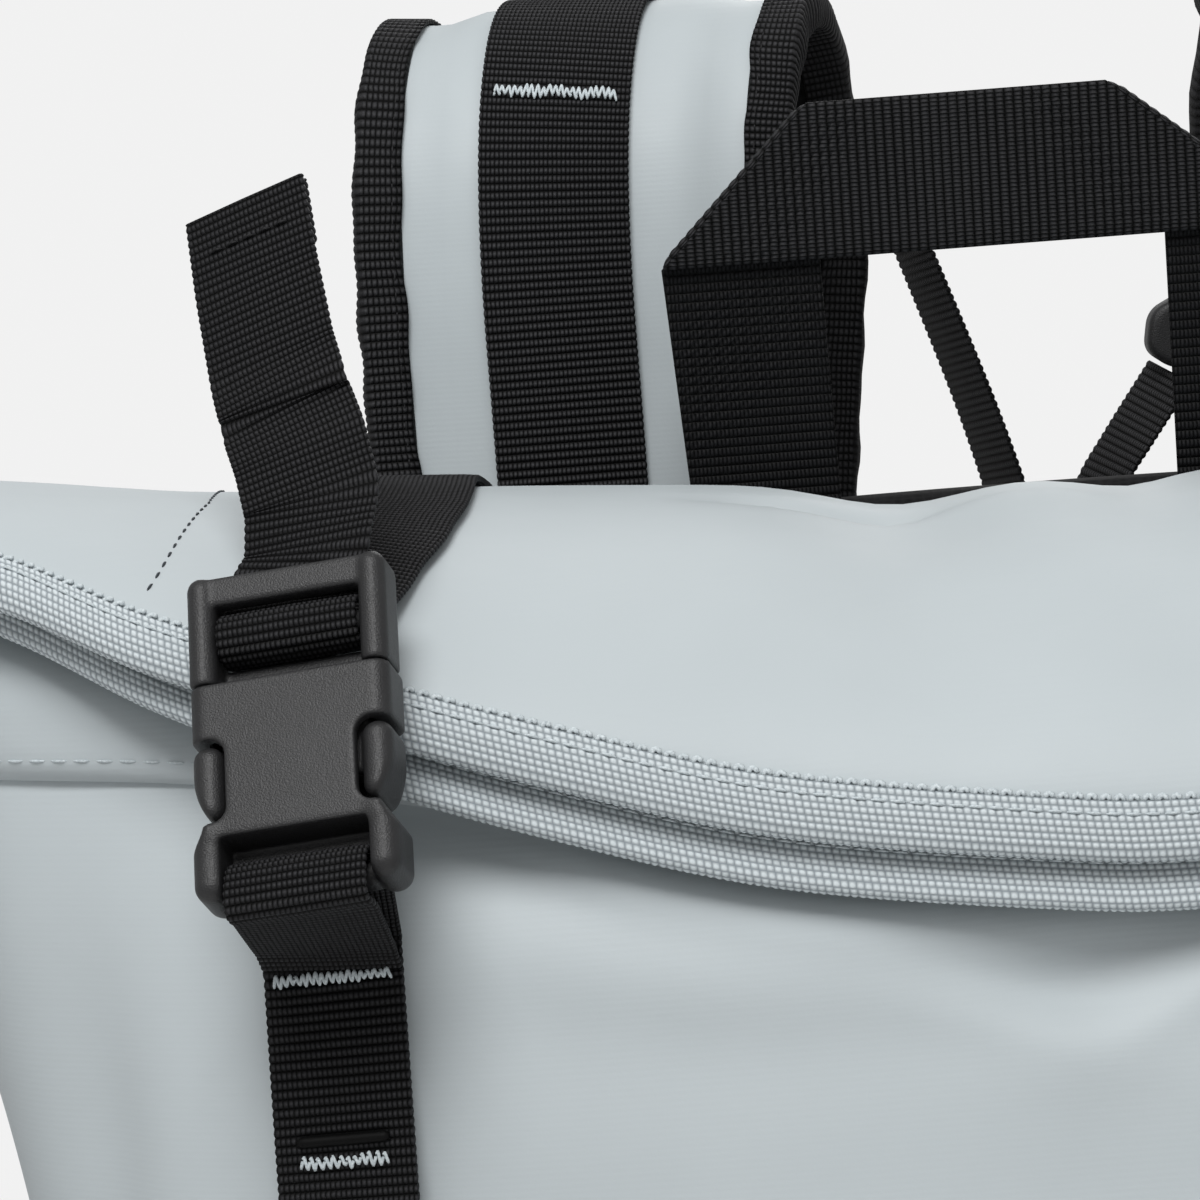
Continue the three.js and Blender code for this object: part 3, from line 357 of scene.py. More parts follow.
def under_lip(x, z):
    """The swelling of the body's face along the lower edge of the flap."""
    m = from_middle(x)
    lip = CREST_Z + along(COLLAR, "x", m, "lip_z") - along(COLLAR, "x", m, "lip_step")
    weight = ease((UNDER_LIP["end"] - np.abs(x)) / UNDER_LIP["fade"])
    weight = weight * (1 - LIP_VALLEY["share"] * bell((x - LIP_VALLEY["x"]) / LIP_VALLEY["spread"]))
    return UNDER_LIP["out"] * weight * bell((z - lip + UNDER_LIP["below"]) / UNDER_LIP["reach"])


def body_dent(points):
    x, z = points[..., 0], points[..., 2]
    depth = -under_lip(x, z)
    for k in range(len(BODY_DENTS["x"])):
        d = {name: column[k] for name, column in BODY_DENTS.items()}
        lift = z - d["z"] - d["slant"] * (x - d["x"])
        depth += d["depth"] * bell((x - d["x"]) / d["across"]) * bell(lift / d["up"])
    return depth


def ripple(x, z, height, length):
    """A gentle unevenness of soft cloth."""
    a = np.sin(x / length + 0.7) * np.sin(z / (1.3 * length) + 1.9)
    b = np.sin((x + 0.6 * z) / (0.61 * length) + 4.1) * 0.6
    c = np.sin((z - 0.4 * x) / (0.83 * length) + 2.3) * 0.5
    return height * (a + b + c)


BODY_ROWS = np.concatenate([[0, 1, 3, 6, 9, 15, 22], np.linspace(30, 270, 22), np.linspace(275, RIM_Z, 44)])
INNER_ROWS = np.linspace(RIM_Z, FLOOR_Z + 4, 16)
RIM_TUCK = 3
RIM_EDGE = 0.5
BODY_SOFT = {"front_y": -20, "front_span": 30, "foot": 30, "ripple": 0.35, "length": 34}
BODY_INSIDE = {"thin_from": 320, "slack": 2.5, "slack_top": 350, "slack_span": 20, "floor_share": 0.97}


def body_shell():
    rings = body_point(T, SIDE, BODY_ROWS[:, None])
    inward = plan_inward(rings)
    front = ease((BODY_SOFT["front_y"] - rings[..., 1]) / BODY_SOFT["front_span"])
    fade = ease(BODY_ROWS / BODY_SOFT["foot"])[:, None, None]
    uneven = ripple(rings[..., 0], rings[..., 2], BODY_SOFT["ripple"], BODY_SOFT["length"])
    depth = (body_dent(rings) * front + uneven)[..., None]
    rings = rings + inward * depth * fade
    rim = rings[-1] + inward[-1] * RIM_EDGE + np.array([0, 0, RIM_TUCK])
    lip = rings[-1] + inward[-1] * RIM_WALL + np.array([0, 0, RIM_TUCK])
    inner = body_point(T, SIDE, INNER_ROWS[:, None])
    thin_from, share = BODY_INSIDE["thin_from"], BODY_INSIDE["floor_share"]
    wall = mix(BODY_WALL, RIM_WALL, ease((INNER_ROWS - thin_from) / (RIM_Z - thin_from)))
    slack = BODY_INSIDE["slack"] * ease((BODY_INSIDE["slack_top"] - INNER_ROWS) / BODY_INSIDE["slack_span"])
    inner = inner + plan_inward(inner) * (wall + slack)[:, None, None]
    bottom = inner[-1] * np.array([share, share, 0]) + np.array([0, 0, FLOOR_Z])
    everything = np.concatenate([rings, rim[None], lip[None], inner, bottom[None]])
    return Piece().add_rings(everything)


# The collar's cloth: a tube whose front and rear walls fold over together
DENSE = 60
ROWS_UNDER = 22
ROWS_BACK = 10
ROWS_TURN = 10
ROWS_FLAP = 46
TURN_SPAN = 7
TIP_ROUND = 7
SEAM_INSET = COLLAR_WALL / 2 + 0.2
SEAM_LIFT = 1
LAP_OUT = 1.5
LAP_REACH = 11


def from_middle(x):
    return np.abs(x - MIDDLE_REACH * bell(x / MIDDLE_SPREAD))


def crest_height(x):
    z = CREST_Z + along(COLLAR, "x", from_middle(x), "crest_z")
    for dent, depth, spread in zip(CREST_DENTS["x"], CREST_DENTS["depth"], CREST_DENTS["spread"]):
        z = z - depth * bell((x - dent) / spread)
    return z


def quarter(v, power):
    return np.maximum(v, 0) ** (2 / power)


RIM = body_point(T, SIDE, RIM_Z)
RIM_INWARD = plan_inward(RIM)
SEAM = RIM + RIM_INWARD * SEAM_INSET + np.array([0, 0, SEAM_LIFT])


def outer_layer(t, seam):
    """The visible layer from the back seam over the crest to the lip, middle of the wall."""
    x = t * WING_HALF
    m = from_middle(x)
    crest_y, lip_y = along(COLLAR, "x", m, "crest_y"), along(COLLAR, "x", m, "lip_y")
    crest_z, lip_z = crest_height(x), CREST_Z + along(COLLAR, "x", m, "lip_z")
    angle = np.linspace(0, np.pi / 2, DENSE + 1)
    rise = quarter(np.sin(angle), BACK_SHOULDER)
    back = vec(
        mix(seam[0], x, rise),
        crest_y + (seam[1] - crest_y) * quarter(np.cos(angle), BACK_SHOULDER),
        mix(seam[2], crest_z, rise),
    )
    front = vec(
        np.full(DENSE, x),
        crest_y - (crest_y - lip_y) * quarter(np.sin(angle[1:]), FRONT_BROW),
        lip_z + (crest_z - lip_z) * quarter(np.cos(angle[1:]), FRONT_BROW),
    )
    return np.concatenate([back, front])


def layer_normals(line):
    h = heads(line)
    return unit(vec(np.zeros(len(h)), h[:, 2], -h[:, 1]))


def tip_lens(t):
    d = np.maximum((abs(t) * WING_HALF - WING_HALF + TIP_ROUND) / TIP_ROUND, 0)
    return math.sqrt(max(1 - d * d, 0))


def fold_index(layer, t):
    fold_y = along(COLLAR, "x", from_middle(t * WING_HALF), "fold_y")
    return max(int(np.argmax(layer[:, 1] <= fold_y)), 1)


def rear_column(t, seam):
    layer = outer_layer(t, seam)
    turn = fold_index(layer, t)
    before = layer[: turn + 1]
    whole = lengths(before)[-1]
    start = max(whole - TURN_SPAN, whole * 0.6)
    rise = at_lengths(before, np.linspace(0, start, ROWS_UNDER + ROWS_BACK + 1))
    bend = at_lengths(before, np.linspace(start, whole, ROWS_TURN + 1)[1:])
    return np.concatenate([rise, bend, resampled(layer[turn:], ROWS_FLAP)[1:]])


def front_column(t, seam, rear_seam):
    layer = outer_layer(t, rear_seam)
    normals = layer_normals(layer)
    step = LAYER_STEP * tip_lens(t)
    turn = fold_index(layer, t)
    x = t * WING_HALF
    m = from_middle(x)
    crest_y = along(COLLAR, "x", m, "crest_y")
    top = crest_height(x) - 2 * step
    angle = np.linspace(np.pi / 2, 0, DENSE + 1)
    rise = quarter(np.cos(angle), UNDER_BROW)
    under = vec(
        mix(seam[0], x, rise),
        crest_y - (crest_y - seam[1]) * quarter(np.sin(angle), UNDER_BROW),
        mix(seam[2], top, rise),
    )
    to_fold = (layer - normals * 2 * step)[turn : DENSE + 1][::-1]
    centre = layer[turn] - normals[turn] * 1.5 * step
    rearward = -heads(layer)[turn]
    swing = (np.pi * np.arange(1, ROWS_TURN + 1) / ROWS_TURN)[:, None]
    bend = centre + (-np.cos(swing) * normals[turn] + np.sin(swing) * rearward) * step / 2
    lip_y, lip_z, lip_step = (along(COLLAR, "x", m, name) for name in ("lip_y", "lip_z", "lip_step"))
    angle = np.linspace(0, np.pi / 2, DENSE + 1)
    ahead = vec(
        np.full(DENSE + 1, x),
        mix(crest_y, lip_y + step, quarter(np.sin(angle), FRONT_BROW)),
        mix(CREST_Z + lip_z - lip_step, crest_height(x) - step, quarter(np.cos(angle), FRONT_BROW)),
    )
    flap = np.concatenate([(layer - normals * step)[turn:DENSE], ahead])
    parts = [resampled(under, ROWS_UNDER), resampled(to_fold, ROWS_BACK)[1:], bend]
    return np.concatenate(parts + [resampled(flap, ROWS_FLAP)[1:]])


def collar_grid():
    """The middle of the collar's wall as rows of columns."""
    grid = np.zeros((COLUMNS, ROWS_UNDER + ROWS_BACK + ROWS_TURN + ROWS_FLAP + 1, 3))
    for j in range(STATIONS + 1):
        t = FRONT_T[j]
        back = (COLUMNS - j) % COLUMNS
        front_line = front_column(t, SEAM[j], SEAM[back])
        rear_line = rear_column(t, SEAM[back])
        blend = 1 - tip_lens(t)
        shared = (front_line + rear_line) / 2
        grid[j] = mix(front_line, shared, blend)
        grid[back] = mix(rear_line, shared, blend)
    return grid.transpose(1, 0, 2)


def grid_normals(grid):
    sideways = np.roll(grid, -1, axis=1) - np.roll(grid, 1, axis=1)
    return unit(np.cross(sideways, np.gradient(grid, axis=0)))


# Soft folds of the flap: place across, share of the way from fold to lip, reach, depth, slant
FLAP_FOLDS = table(
    "x share across down depth slant",
    [
        (-36, 0.345, 13, 0.030, 2.0, 0.0007),
        (-24, 0.325, 10, 0.034, 2.6, -0.0012),
        (-4, 0.36, 13, 0.060, -1.2, 0.0),
        (-22, 0.46, 12, 0.090, 0.9, 0.0),
        (-5, 0.70, 40, 0.06, 0.5, 0.0015),
        (-60, 0.80, 42, 0.10, 0.35, -0.001),
        (60, 0.74, 46, 0.10, 0.45, 0.001),
        (-118, 0.82, 12, 0.14, 0.6, 0.0),
        (118, 0.82, 12, 0.14, 0.6, 0.0),
        (-172, 0.6, 16, 0.3, 0.7, 0.0),
        (172, 0.6, 16, 0.3, 0.7, 0.0),
    ],
)
FLAP_SOFT = {"drop": 90, "ripple": 0.22, "length": 24, "lip": 0.12, "fold": 0.1}
INNER_FLARE = {"out": 3.4, "reach": 0.11, "end": 150, "fade": 50}


def shaped_collar():
    grid = collar_grid()
    normals = grid_normals(grid)
    share = np.clip((np.arange(len(grid)) - (len(grid) - 1 - ROWS_FLAP)) / ROWS_FLAP, 0, 1)[:, None]
    x = grid[..., 0]
    depth = ripple(x, share * FLAP_SOFT["drop"], FLAP_SOFT["ripple"], FLAP_SOFT["length"])
    for k in range(len(FLAP_FOLDS["x"])):
        d = {name: column[k] for name, column in FLAP_FOLDS.items()}
        lift = share - d["share"] - d["slant"] * (x - d["x"])
        depth = depth + d["depth"] * bell((x - d["x"]) / d["across"]) * bell(lift / d["down"])
    rear = (SIDE > 0)[None, :]
    held = ease((1 - share) / FLAP_SOFT["lip"]) * ease(share / FLAP_SOFT["fold"])
    grid = grid - normals * (depth * held * np.where(rear, 1, 0))[..., None]
    lifted = np.clip(1 - (1 - share) / INNER_FLARE["reach"], 0, 1) ** 2
    ends = ease((INNER_FLARE["end"] - np.abs(x)) / INNER_FLARE["fade"])
    grid[..., 1] -= INNER_FLARE["out"] * lifted * ends * np.where(rear, 0, 1)
    paces = np.linalg.norm(np.diff(grid, axis=0), axis=2)
    rise = np.concatenate([np.zeros((1, COLUMNS)), np.cumsum(paces, axis=0)])
    lap = 1 - ease(rise / LAP_REACH)
    grid = grid - RIM_INWARD[None] * (LAP_OUT * lap)[..., None]
    grid[0, :, 2] -= SEAM_LIFT
    return grid, grid_normals(grid)


GRID, NORMALS = shaped_collar()
FLAP_ROW = len(GRID) - 1 - ROWS_FLAP


# Thread
STITCH_SIDES, STITCH_STEPS = 5, 5
STITCH_SHAPE = {"arch": 1.5, "sunk": 0.9, "thin": 0.45}
TACK_UNEVEN = {"across": 0.25, "ahead": 0.16}
TACK_ARCH = {"low": 0.5, "high": 0.9, "start": 0.06, "steps": 6}


def stitches(piece, line, face, thread, finish):
    """A row of stitches along a line: each one is a short round thread that dips at both ends."""
    length, space, radius = thread["length"], thread["space"], thread["radius"]
    run = lengths(line)[-1]
    count = int(run // (length + space))
    start = (run - count * (length + space) + space) / 2
    sides, steps = STITCH_SIDES, STITCH_STEPS
    share = np.linspace(0, 1, steps)
    begin = start + np.arange(count) * (length + space)
    want = begin[:, None] + share[None] * length
    centre = at_lengths(line, want.ravel()).reshape(count, steps, 3)
    up = unit(at_lengths(face, want.ravel(), line).reshape(count, steps, 3))
    ahead = unit(np.gradient(centre, axis=1))
    across = unit(np.cross(ahead, up))
    arch = np.sin(np.pi * share)[None, :, None]
    centre = centre + up * radius * (STITCH_SHAPE["arch"] * arch - STITCH_SHAPE["sunk"])
    size = radius * mix(STITCH_SHAPE["thin"], 1, np.sqrt(arch))[..., None]
    turn = 2 * np.pi * np.arange(sides) / sides
    spoke = across[:, :, None] * np.cos(turn)[:, None] + up[:, :, None] * np.sin(turn)[:, None]
    rings = centre[:, :, None] + spoke * size
    for ring in rings:
        piece.add_rings(ring, finish=finish)


def zigzag(piece, place, face, ahead, tack):
    """A bar tack in the second finish: a close zigzag of thread across a strap, centred on a place."""
    across = unit(np.cross(ahead, face))
    count = 2 * tack["teeth"] + 1
    stray, jump = TACK_UNEVEN["across"], TACK_UNEVEN["ahead"]
    share = np.linspace(-0.5, 0.5, count) + rng.uniform(-stray, stray, count) / count
    flip = np.where(np.arange(count) % 2 == 0, -0.5, 0.5) + rng.uniform(-jump, jump, count)
    corner = place + across * (share * tack["width"])[:, None] + ahead * (flip * tack["height"])[:, None]
    start, steps = TACK_ARCH["start"], TACK_ARCH["steps"]
    lift = np.sin(np.pi * np.linspace(start, 1 - start, steps))[:, None]
    arch = face * tack["radius"] * (TACK_ARCH["low"] + TACK_ARCH["high"] * lift)
    for a, b in zip(corner[:-1], corner[1:]):
        tube(piece, np.linspace(a, b, steps) + arch, tack["radius"], 1)


def tube(piece, line, radius, finish, sides=6):
    ahead = heads(line)
    guide = np.where(np.abs(ahead[:, 2:3]) > 0.9, np.array([[1.0, 0, 0]]), np.array([[0, 0, 1.0]]))
    a = unit(np.cross(ahead, guide))
    b = np.cross(ahead, a)
    turn = 2 * np.pi * np.arange(sides) / sides
    size = radius * np.sqrt(np.clip(np.sin(np.pi * np.linspace(0.03, 0.97, len(line))) * 4, 0.2, 1))
    spoke = a[:, None] * np.cos(turn)[:, None] + b[:, None] * np.sin(turn)[:, None]
    piece.add_rings(line[:, None] + spoke * size[:, None, None], finish=finish)


# Points of the flap's outer face, by place across and share from fold to lip
REAR = np.concatenate([[STATIONS], np.arange(STATIONS + 1, COLUMNS), [0]])[::-1]


def flap_face(x, share, lift):
    rows = FLAP_ROW + np.asarray(share, float) * ROWS_FLAP
    row = np.clip(rows.astype(int), 0, len(GRID) - 2)
    part = (rows - row)[:, None]
    places, faces = [], []
    for want, r, p in zip(np.atleast_1d(x), row, part):
        line = mix(GRID[r, REAR], GRID[r + 1, REAR], p)
        face = mix(NORMALS[r, REAR], NORMALS[r + 1, REAR], p)
        places.append([np.interp(want, line[:, 0], line[:, k]) for k in range(3)])
        faces.append([np.interp(want, line[:, 0], face[:, k]) for k in range(3)])
    face = unit(np.array(faces))
    return np.array(places) + face * lift, face


SEAM_STITCH = {"length": 3.2, "space": 0.45, "radius": 0.22, "above": 2.8}
WING_STITCH = {"length": 2.8, "space": 1.1, "radius": 0.2}
WING_SEAM = {"lip_x": 131, "crest_x": 123, "low": 0.9, "high": 0.02, "span": 0.5, "power": 0.6, "steps": 60}
HEM = {"rows": 3, "thin": 0.75}


def roll_collar():
    piece = Piece()
    half = COLLAR_WALL / 2
    rows = np.arange(len(GRID))
    hem = np.where(rows < HEM["rows"], mix(HEM["thin"], 1, rows / HEM["rows"]), 1)[:, None, None]
    outer = GRID + NORMALS * half * hem
    inner = (GRID - NORMALS * half * hem)[::-2]
    rings = np.concatenate([outer, inner])
    faces = grid_faces(len(rings), COLUMNS, wrap_rows=True, wrap_columns=True)
    piece.add(rings, faces)
    rise = lengths(GRID[:6, STATIONS // 2])
    row = int(np.argmin(np.abs(rise - SEAM_STITCH["above"])))
    line = np.concatenate([outer[row], outer[row, :1]])
    face = np.concatenate([NORMALS[row], NORMALS[row, :1]])
    stitches(piece, line, face, SEAM_STITCH, 1)
    share = np.linspace(WING_SEAM["low"], WING_SEAM["high"], WING_SEAM["steps"])
    bend = np.clip((WING_SEAM["low"] - share) / WING_SEAM["span"], 0, 1) ** WING_SEAM["power"]
    for side in (-1, 1):
        x = side * mix(WING_SEAM["lip_x"], WING_SEAM["crest_x"], bend)
        line, face = flap_face(x, share, half)
        stitches(piece, line, face, WING_STITCH, 2)
    return piece


# Woven tape folded over a lip: beads of weave, loops along the open edge and one row of stitches
TAPE = {"width": 6.5, "thick": 0.55, "gap": 0.25, "end": 168, "rows": 30, "turns": 13, "sparse": 6}
TAPE_CLOTH_ROWS = 20
BEAD = {"along": 1.12, "across": 0.92, "height": 0.3, "shift": 0.14, "steps": 3, "power": 0.7, "sunk": 0.6}
BEAD_SWAY = {"size": 0.12, "rate": 0.9, "shift": 1.7}
LOOP = {"pitch": 1.95, "radius": 0.5, "thread": 0.46, "lift": 0.15, "seat": 0.3, "bow": 0.3}
LOOP_SWEEP = {"past": 0.25, "steps": 7}
LOOP_SIZES = (0.9, 1.12)
TAPE_STITCH = {"down": 1.9, "length": 2.2, "space": 0.5, "radius": 0.24, "lift": 0.08}


def beads(s, w):
    """Height of a plain weave: staggered beads, s along the tape and w across it."""
    row = w / BEAD["across"]
    step = np.floor(row)
    sway = BEAD_SWAY["size"] * np.sin(BEAD_SWAY["rate"] * s + BEAD_SWAY["shift"] * step)
    column = s / BEAD["along"] + BEAD["shift"] * step + sway
    return (np.abs(np.sin(np.pi * row)) * np.abs(np.sin(np.pi * column))) ** BEAD["power"]


def lip_tape(rear):
    """The tape over the outer lip (rear wall) or over the inner lip (front wall)."""
    order = REAR if rear else np.arange(STATIONS + 1)
    viewer = 1 if rear else -1
    keep = order[np.abs(GRID[-1, order, 0]) <= TAPE["end"]]
    columns = GRID[::-1, keep]
    face = NORMALS[::-1, keep] * viewer
    back = np.linspace(0, TAPE["width"], TAPE["rows"])
    leg = np.zeros((len(back), len(keep), 3))
    leg_face = np.zeros_like(leg)
    for c in range(len(keep)):
        cloth = columns[:TAPE_CLOTH_ROWS, c]
        leg[:, c] = at_lengths(cloth, back)
        leg_face[:, c] = at_lengths(face[:TAPE_CLOTH_ROWS, c], back, cloth)
    edge = leg[0]
    count = int(lengths(edge)[-1] / (BEAD["along"] / BEAD["steps"]))
    want = np.linspace(0, lengths(edge)[-1], count + 1)
    leg = np.stack([at_lengths(row, want, edge) for row in leg])
    leg_face = unit(np.stack([at_lengths(row, want, edge) for row in leg_face]))
    ahead = unit(leg[0] - leg[3])
    inner = COLLAR_WALL / 2 + TAPE["gap"]
    outer = inner + TAPE["thick"]
    s = want[None, :]
    sparse = TAPE["sparse"]

    def skin(offset, rough):
        front = leg[::-1]
        turn = np.linspace(0, np.pi, TAPE["turns"])[1:-1, None, None]
        lead = leg[0] + ahead * TAPE["gap"]
        w_front = back[::-1, None] + 0 * s
        w_turn = -turn[..., 0] * outer + 0 * s
        w_back = -np.pi * outer - back[::sparse, None] + 0 * s
        bump = BEAD["height"] * rough
        out_front = leg_face[::-1] * (offset + bump * beads(s, w_front)[..., None])
        radius = offset + bump * beads(s, w_turn)[..., None]
        out_turn = (leg_face[0] * np.cos(turn) + ahead * np.sin(turn)) * radius
        out_back = -leg_face[::sparse] * (offset + bump * beads(s, w_back)[..., None])
        rows = np.concatenate([front + out_front, lead + out_turn, leg[::sparse] + out_back])
        weave = vec(np.concatenate([w_front, w_turn, w_back]), s, np.zeros_like(s))
        return rows, weave

    far, far_weave = skin(outer - BEAD["height"] * BEAD["sunk"], 1)
    near, near_weave = skin(inner, 0)
    piece = Piece()
    ring = np.concatenate([far, near[::-sparse]])
    weave = np.concatenate([far_weave, near_weave[::-sparse]])
    piece.add_rings(ring.transpose(1, 0, 2), weave.transpose(1, 0, 2))
    top = leg[-1] + leg_face[-1] * (inner + TAPE["thick"] * LOOP["seat"])
    rise = unit(leg[-1] - leg[-4])
    tape_loops(piece, top, rise, leg_face[-1])
    down = int(round(len(back) * (1 - TAPE_STITCH["down"] / TAPE["width"])))
    line = leg[down] + leg_face[down] * (outer + TAPE_STITCH["lift"])
    stitches(piece, line, leg_face[down], TAPE_STITCH, 1)
    return piece


def tape_loops(piece, edge, rise, face):
    """Small loops of thread along the tape's open edge."""
    run = lengths(edge)
    count = int(run[-1] / LOOP["pitch"])
    angle = np.linspace(-LOOP_SWEEP["past"], np.pi + LOOP_SWEEP["past"], LOOP_SWEEP["steps"])
    want = (np.arange(count) + 0.5) * LOOP["pitch"]
    spots = at_lengths(edge, want)
    ups = unit(at_lengths(rise, want, edge))
    outs = unit(at_lengths(face, want, edge))
    for spot, up, out in zip(spots, ups, outs):
        side = unit(np.cross(out, up))
        size = LOOP["radius"] * rng.uniform(*LOOP_SIZES)
        wide = side * (np.cos(angle) * size)[:, None]
        high = up * (np.sin(angle) * size + LOOP["lift"])[:, None]
        deep = out * (LOOP["bow"] * (1 - np.sin(angle)))[:, None]
        tube(piece, spot + wide + high + deep, LOOP["thread"], 1, sides=5)


# Webbing
WEB = 1.4
NARROW = 20
BROAD = 25
ROWS_PER_RIB = 4
RIB_SHAPE = {"power": 0.8, "edge": 0.18, "depth": 0.26}
SECTION = {"flat": 0.965, "thin": 0.3, "power": 14}
SECTION_EDGE = [(1.0, 0.5), (1.005, 0.0), (1.0, -0.5)]


def ribs(run, pitch):
    """Height of the ribs across a strap, from 0 in a groove to 1."""
    return np.abs(np.sin(np.pi * run / pitch)) ** RIB_SHAPE["power"]


def web_section(columns):
    """Unit outline of a strap: place across, place through the thickness."""
    flat = SECTION["flat"]
    face = [(w, 1 - SECTION["thin"] * abs(w) ** SECTION["power"]) for w in np.linspace(-flat, flat, columns)]
    rear = [(w, SECTION["thin"] * abs(w) ** SECTION["power"] - 1) for w in np.linspace(flat, -flat, 3)]
    return np.array(face + SECTION_EDGE + rear + [(-w, n) for w, n in SECTION_EDGE[::-1]])


def kept_rows(count, pitch, fine):
    """Rows of a strap that its mesh keeps: all of them up to a length, then one on every other rib."""
    first = ROWS_PER_RIB * int(fine / pitch)
    spare = np.arange(first + ROWS_PER_RIB // 2, count - 1, 2 * ROWS_PER_RIB)
    return np.unique(np.concatenate([np.arange(min(first, count)), spare, [count - 1]]))


def webbing(piece, path, sides, width, thick, pitch, reach=1.6, columns=10, fine=1000):
    """A strap along a path, its width along given directions, ribbed up to a length. Returns its frame."""
    path, sides = np.asarray(path, float), np.asarray(sides, float)
    step = pitch / ROWS_PER_RIB
    count = int(round(lengths(path)[-1] / step))
    run = np.linspace(0, lengths(path)[-1], count + 1)
    line = at_lengths(path, run)
    across = at_lengths(sides, run, path)
    line = softened(line, reach, step)
    across = softened(across, 2 * reach, step)
    ahead = heads(line)
    across = unit(across - ahead * np.einsum("ij,ij->i", across, ahead)[:, None])
    face = np.cross(ahead, across)
    section = web_section(columns)
    keep = kept_rows(len(run), pitch, fine)
    groove = (1 - ribs(run[keep], pitch))[:, None]
    w = section[:, 0] * (width / 2 - RIB_SHAPE["edge"] * groove)
    n = section[:, 1] * (thick / 2 - RIB_SHAPE["depth"] * thick * groove)
    rings = line[keep, None] + across[keep, None] * w[..., None] + face[keep, None] * n[..., None]
    weave = vec(w, run[keep, None], np.sign(section[:, 1])[None])
    piece.add_rings(rings, weave)
    return line, across, face


# Front buckle, upright in its own frame, then turned on to the flap
BUCKLE_AT = np.array([-108.4, -84.5, 376.7])
BUCKLE_TURN, BUCKLE_LEAN, BUCKLE_ROLL = 15, 29, 6.8


def rotation(axis, degrees):
    a = math.radians(degrees)
    c, s = math.cos(a), math.sin(a)
    if axis == "x":
        return np.array([[1, 0, 0], [0, c, -s], [0, s, c]])
    if axis == "y":
        return np.array([[c, 0, s], [0, 1, 0], [-s, 0, c]])
    return np.array([[c, -s, 0], [s, c, 0], [0, 0, 1]])


BUCKLE_BASIS = rotation("z", -BUCKLE_TURN) @ rotation("x", -BUCKLE_LEAN) @ rotation("y", -BUCKLE_ROLL)


def from_buckle(points):
    return np.asarray(points, float) @ BUCKLE_BASIS.T + BUCKLE_AT


# Moulded shapes from distance fields
FINE_VOXEL = 0.38
PLAIN_VOXEL = 0.64


def box_field(p, low, high, radius):
    low, high = np.asarray(low, float), np.asarray(high, float)
    q = np.abs(p - (low + high) / 2) - ((high - low) / 2 - radius)
    return np.linalg.norm(np.maximum(q, 0), axis=-1) + np.minimum(q.max(-1), 0) - radius


def rod_field(p, axis, centre, radius):
    """A long round rod along one axis, through a centre given by the other two coordinates."""
    rest = [k for k in range(3) if k != axis]
    return np.hypot(p[..., rest[0]] - centre[0], p[..., rest[1]] - centre[1]) - radius


def join(a, b, soft=0.0):
    if soft <= 0:
        return np.minimum(a, b)
    h = np.clip(0.5 + 0.5 * (b - a) / soft, 0, 1)
    return mix(b, a, h) - soft * h * (1 - h)


def cut(a, b, soft=0.0):
    return -join(-a, b, soft)


def moulded(field, low, high, voxel):
    """Surface of a distance field inside a box, as vertices and faces."""
    low, high = np.asarray(low, float) - 2 * voxel, np.asarray(high, float) + 2 * voxel
    axes = [np.arange(a, b + voxel, voxel) for a, b in zip(low, high)]
    p = np.stack(np.meshgrid(*axes, indexing="ij"), -1)
    values = field(p).astype(np.float32)
    volume = openvdb.FloatGrid(background=float(values.max()))
    volume.copyFromArray(values)
    points, quads = volume.convertToQuads(0.0)
    return np.asarray(points, float) * voxel + low, np.asarray(quads, int)


HALF = 14.25
SPLIT = 7.6
SEAM_GAP = 0.25
RECESS_IN = 9.3


def level_cut(made, z, level, keep_below):
    """A shape cut off at a level with a small bevel."""
    return cut(made, level - z if keep_below else z - level, 0.5)


def socket_field(p):
    q = np.stack([np.abs(p[..., 0]), p[..., 1], p[..., 2]], -1)
    made = box_field(q, (-HALF, -5, -16.8), (HALF, 5, SPLIT + 6), 2.4)
    made = join(made, box_field(q, (9.7, -5, -24), (14.6, 5, -10), 2.4), 1.0)
    made = level_cut(made, q[..., 2], SPLIT - SEAM_GAP, True)
    made = cut(made, box_field(q, (RECESS_IN, -9, -13.2), (20, 9, -0.8), 2.4), 0.4)
    made = cut(made, rod_field(q, 1, (16.8, -12.6), 4.2), 0.8)
    made = cut(made, box_field(q, (-10.5, -9, -30), (10.5, 9, -15.3), 0.7), 0.4)
    made = join(made, box_field(q, (-11, 1.4, -17.5), (11, 5, -13), 0.6), 0.3)
    made = join(made, box_field(q, (-11, -1.2, -23.6), (11, 3.6, -20.2), 1.4), 0.6)
    return cut(made, box_field(q, (-11.6, -3.2, -14), (11.6, 3.2, 20), 1), 0.2)


def tongue_field(p):
    q = np.stack([np.abs(p[..., 0]), p[..., 1], p[..., 2]], -1)
    x, z = q[..., 0], q[..., 2]
    made = box_field(q, (10.3, -5, SPLIT - 6), (HALF, 3.6, 24), 2.0)
    made = level_cut(made, z, SPLIT, False)
    made = join(made, box_field(q, (-12, -4.3, 19.3), (12, -1.2, 23.6), 0.7), 0.3)
    made = join(made, box_field(q, (9.2, 2.3, 17.6), (12, 3.6, 24), 0.5), 0.3)
    made = join(made, box_field(q, (-12, 0.4, SPLIT), (12, 3.2, SPLIT + 3.6), 0.5), 0.3)
    made = join(made, box_field(q, (-12, -2.8, 13.1), (12, 0.4, 16.1), 1.0), 0.3)
    made = join(made, box_field(q, (6.4, -2.1, -8), (10.6, 2.1, SPLIT + 1), 0.8), 0.6)
    button = box_field(q, (RECESS_IN + 0.45, -4.7, -12.6), (HALF, 4.7, -1.25), 2.2)
    button = cut(button, 0.47 * (z + 8.2) - 0.88 * (x - HALF), 1.2)
    return join(made, button, 0.3)


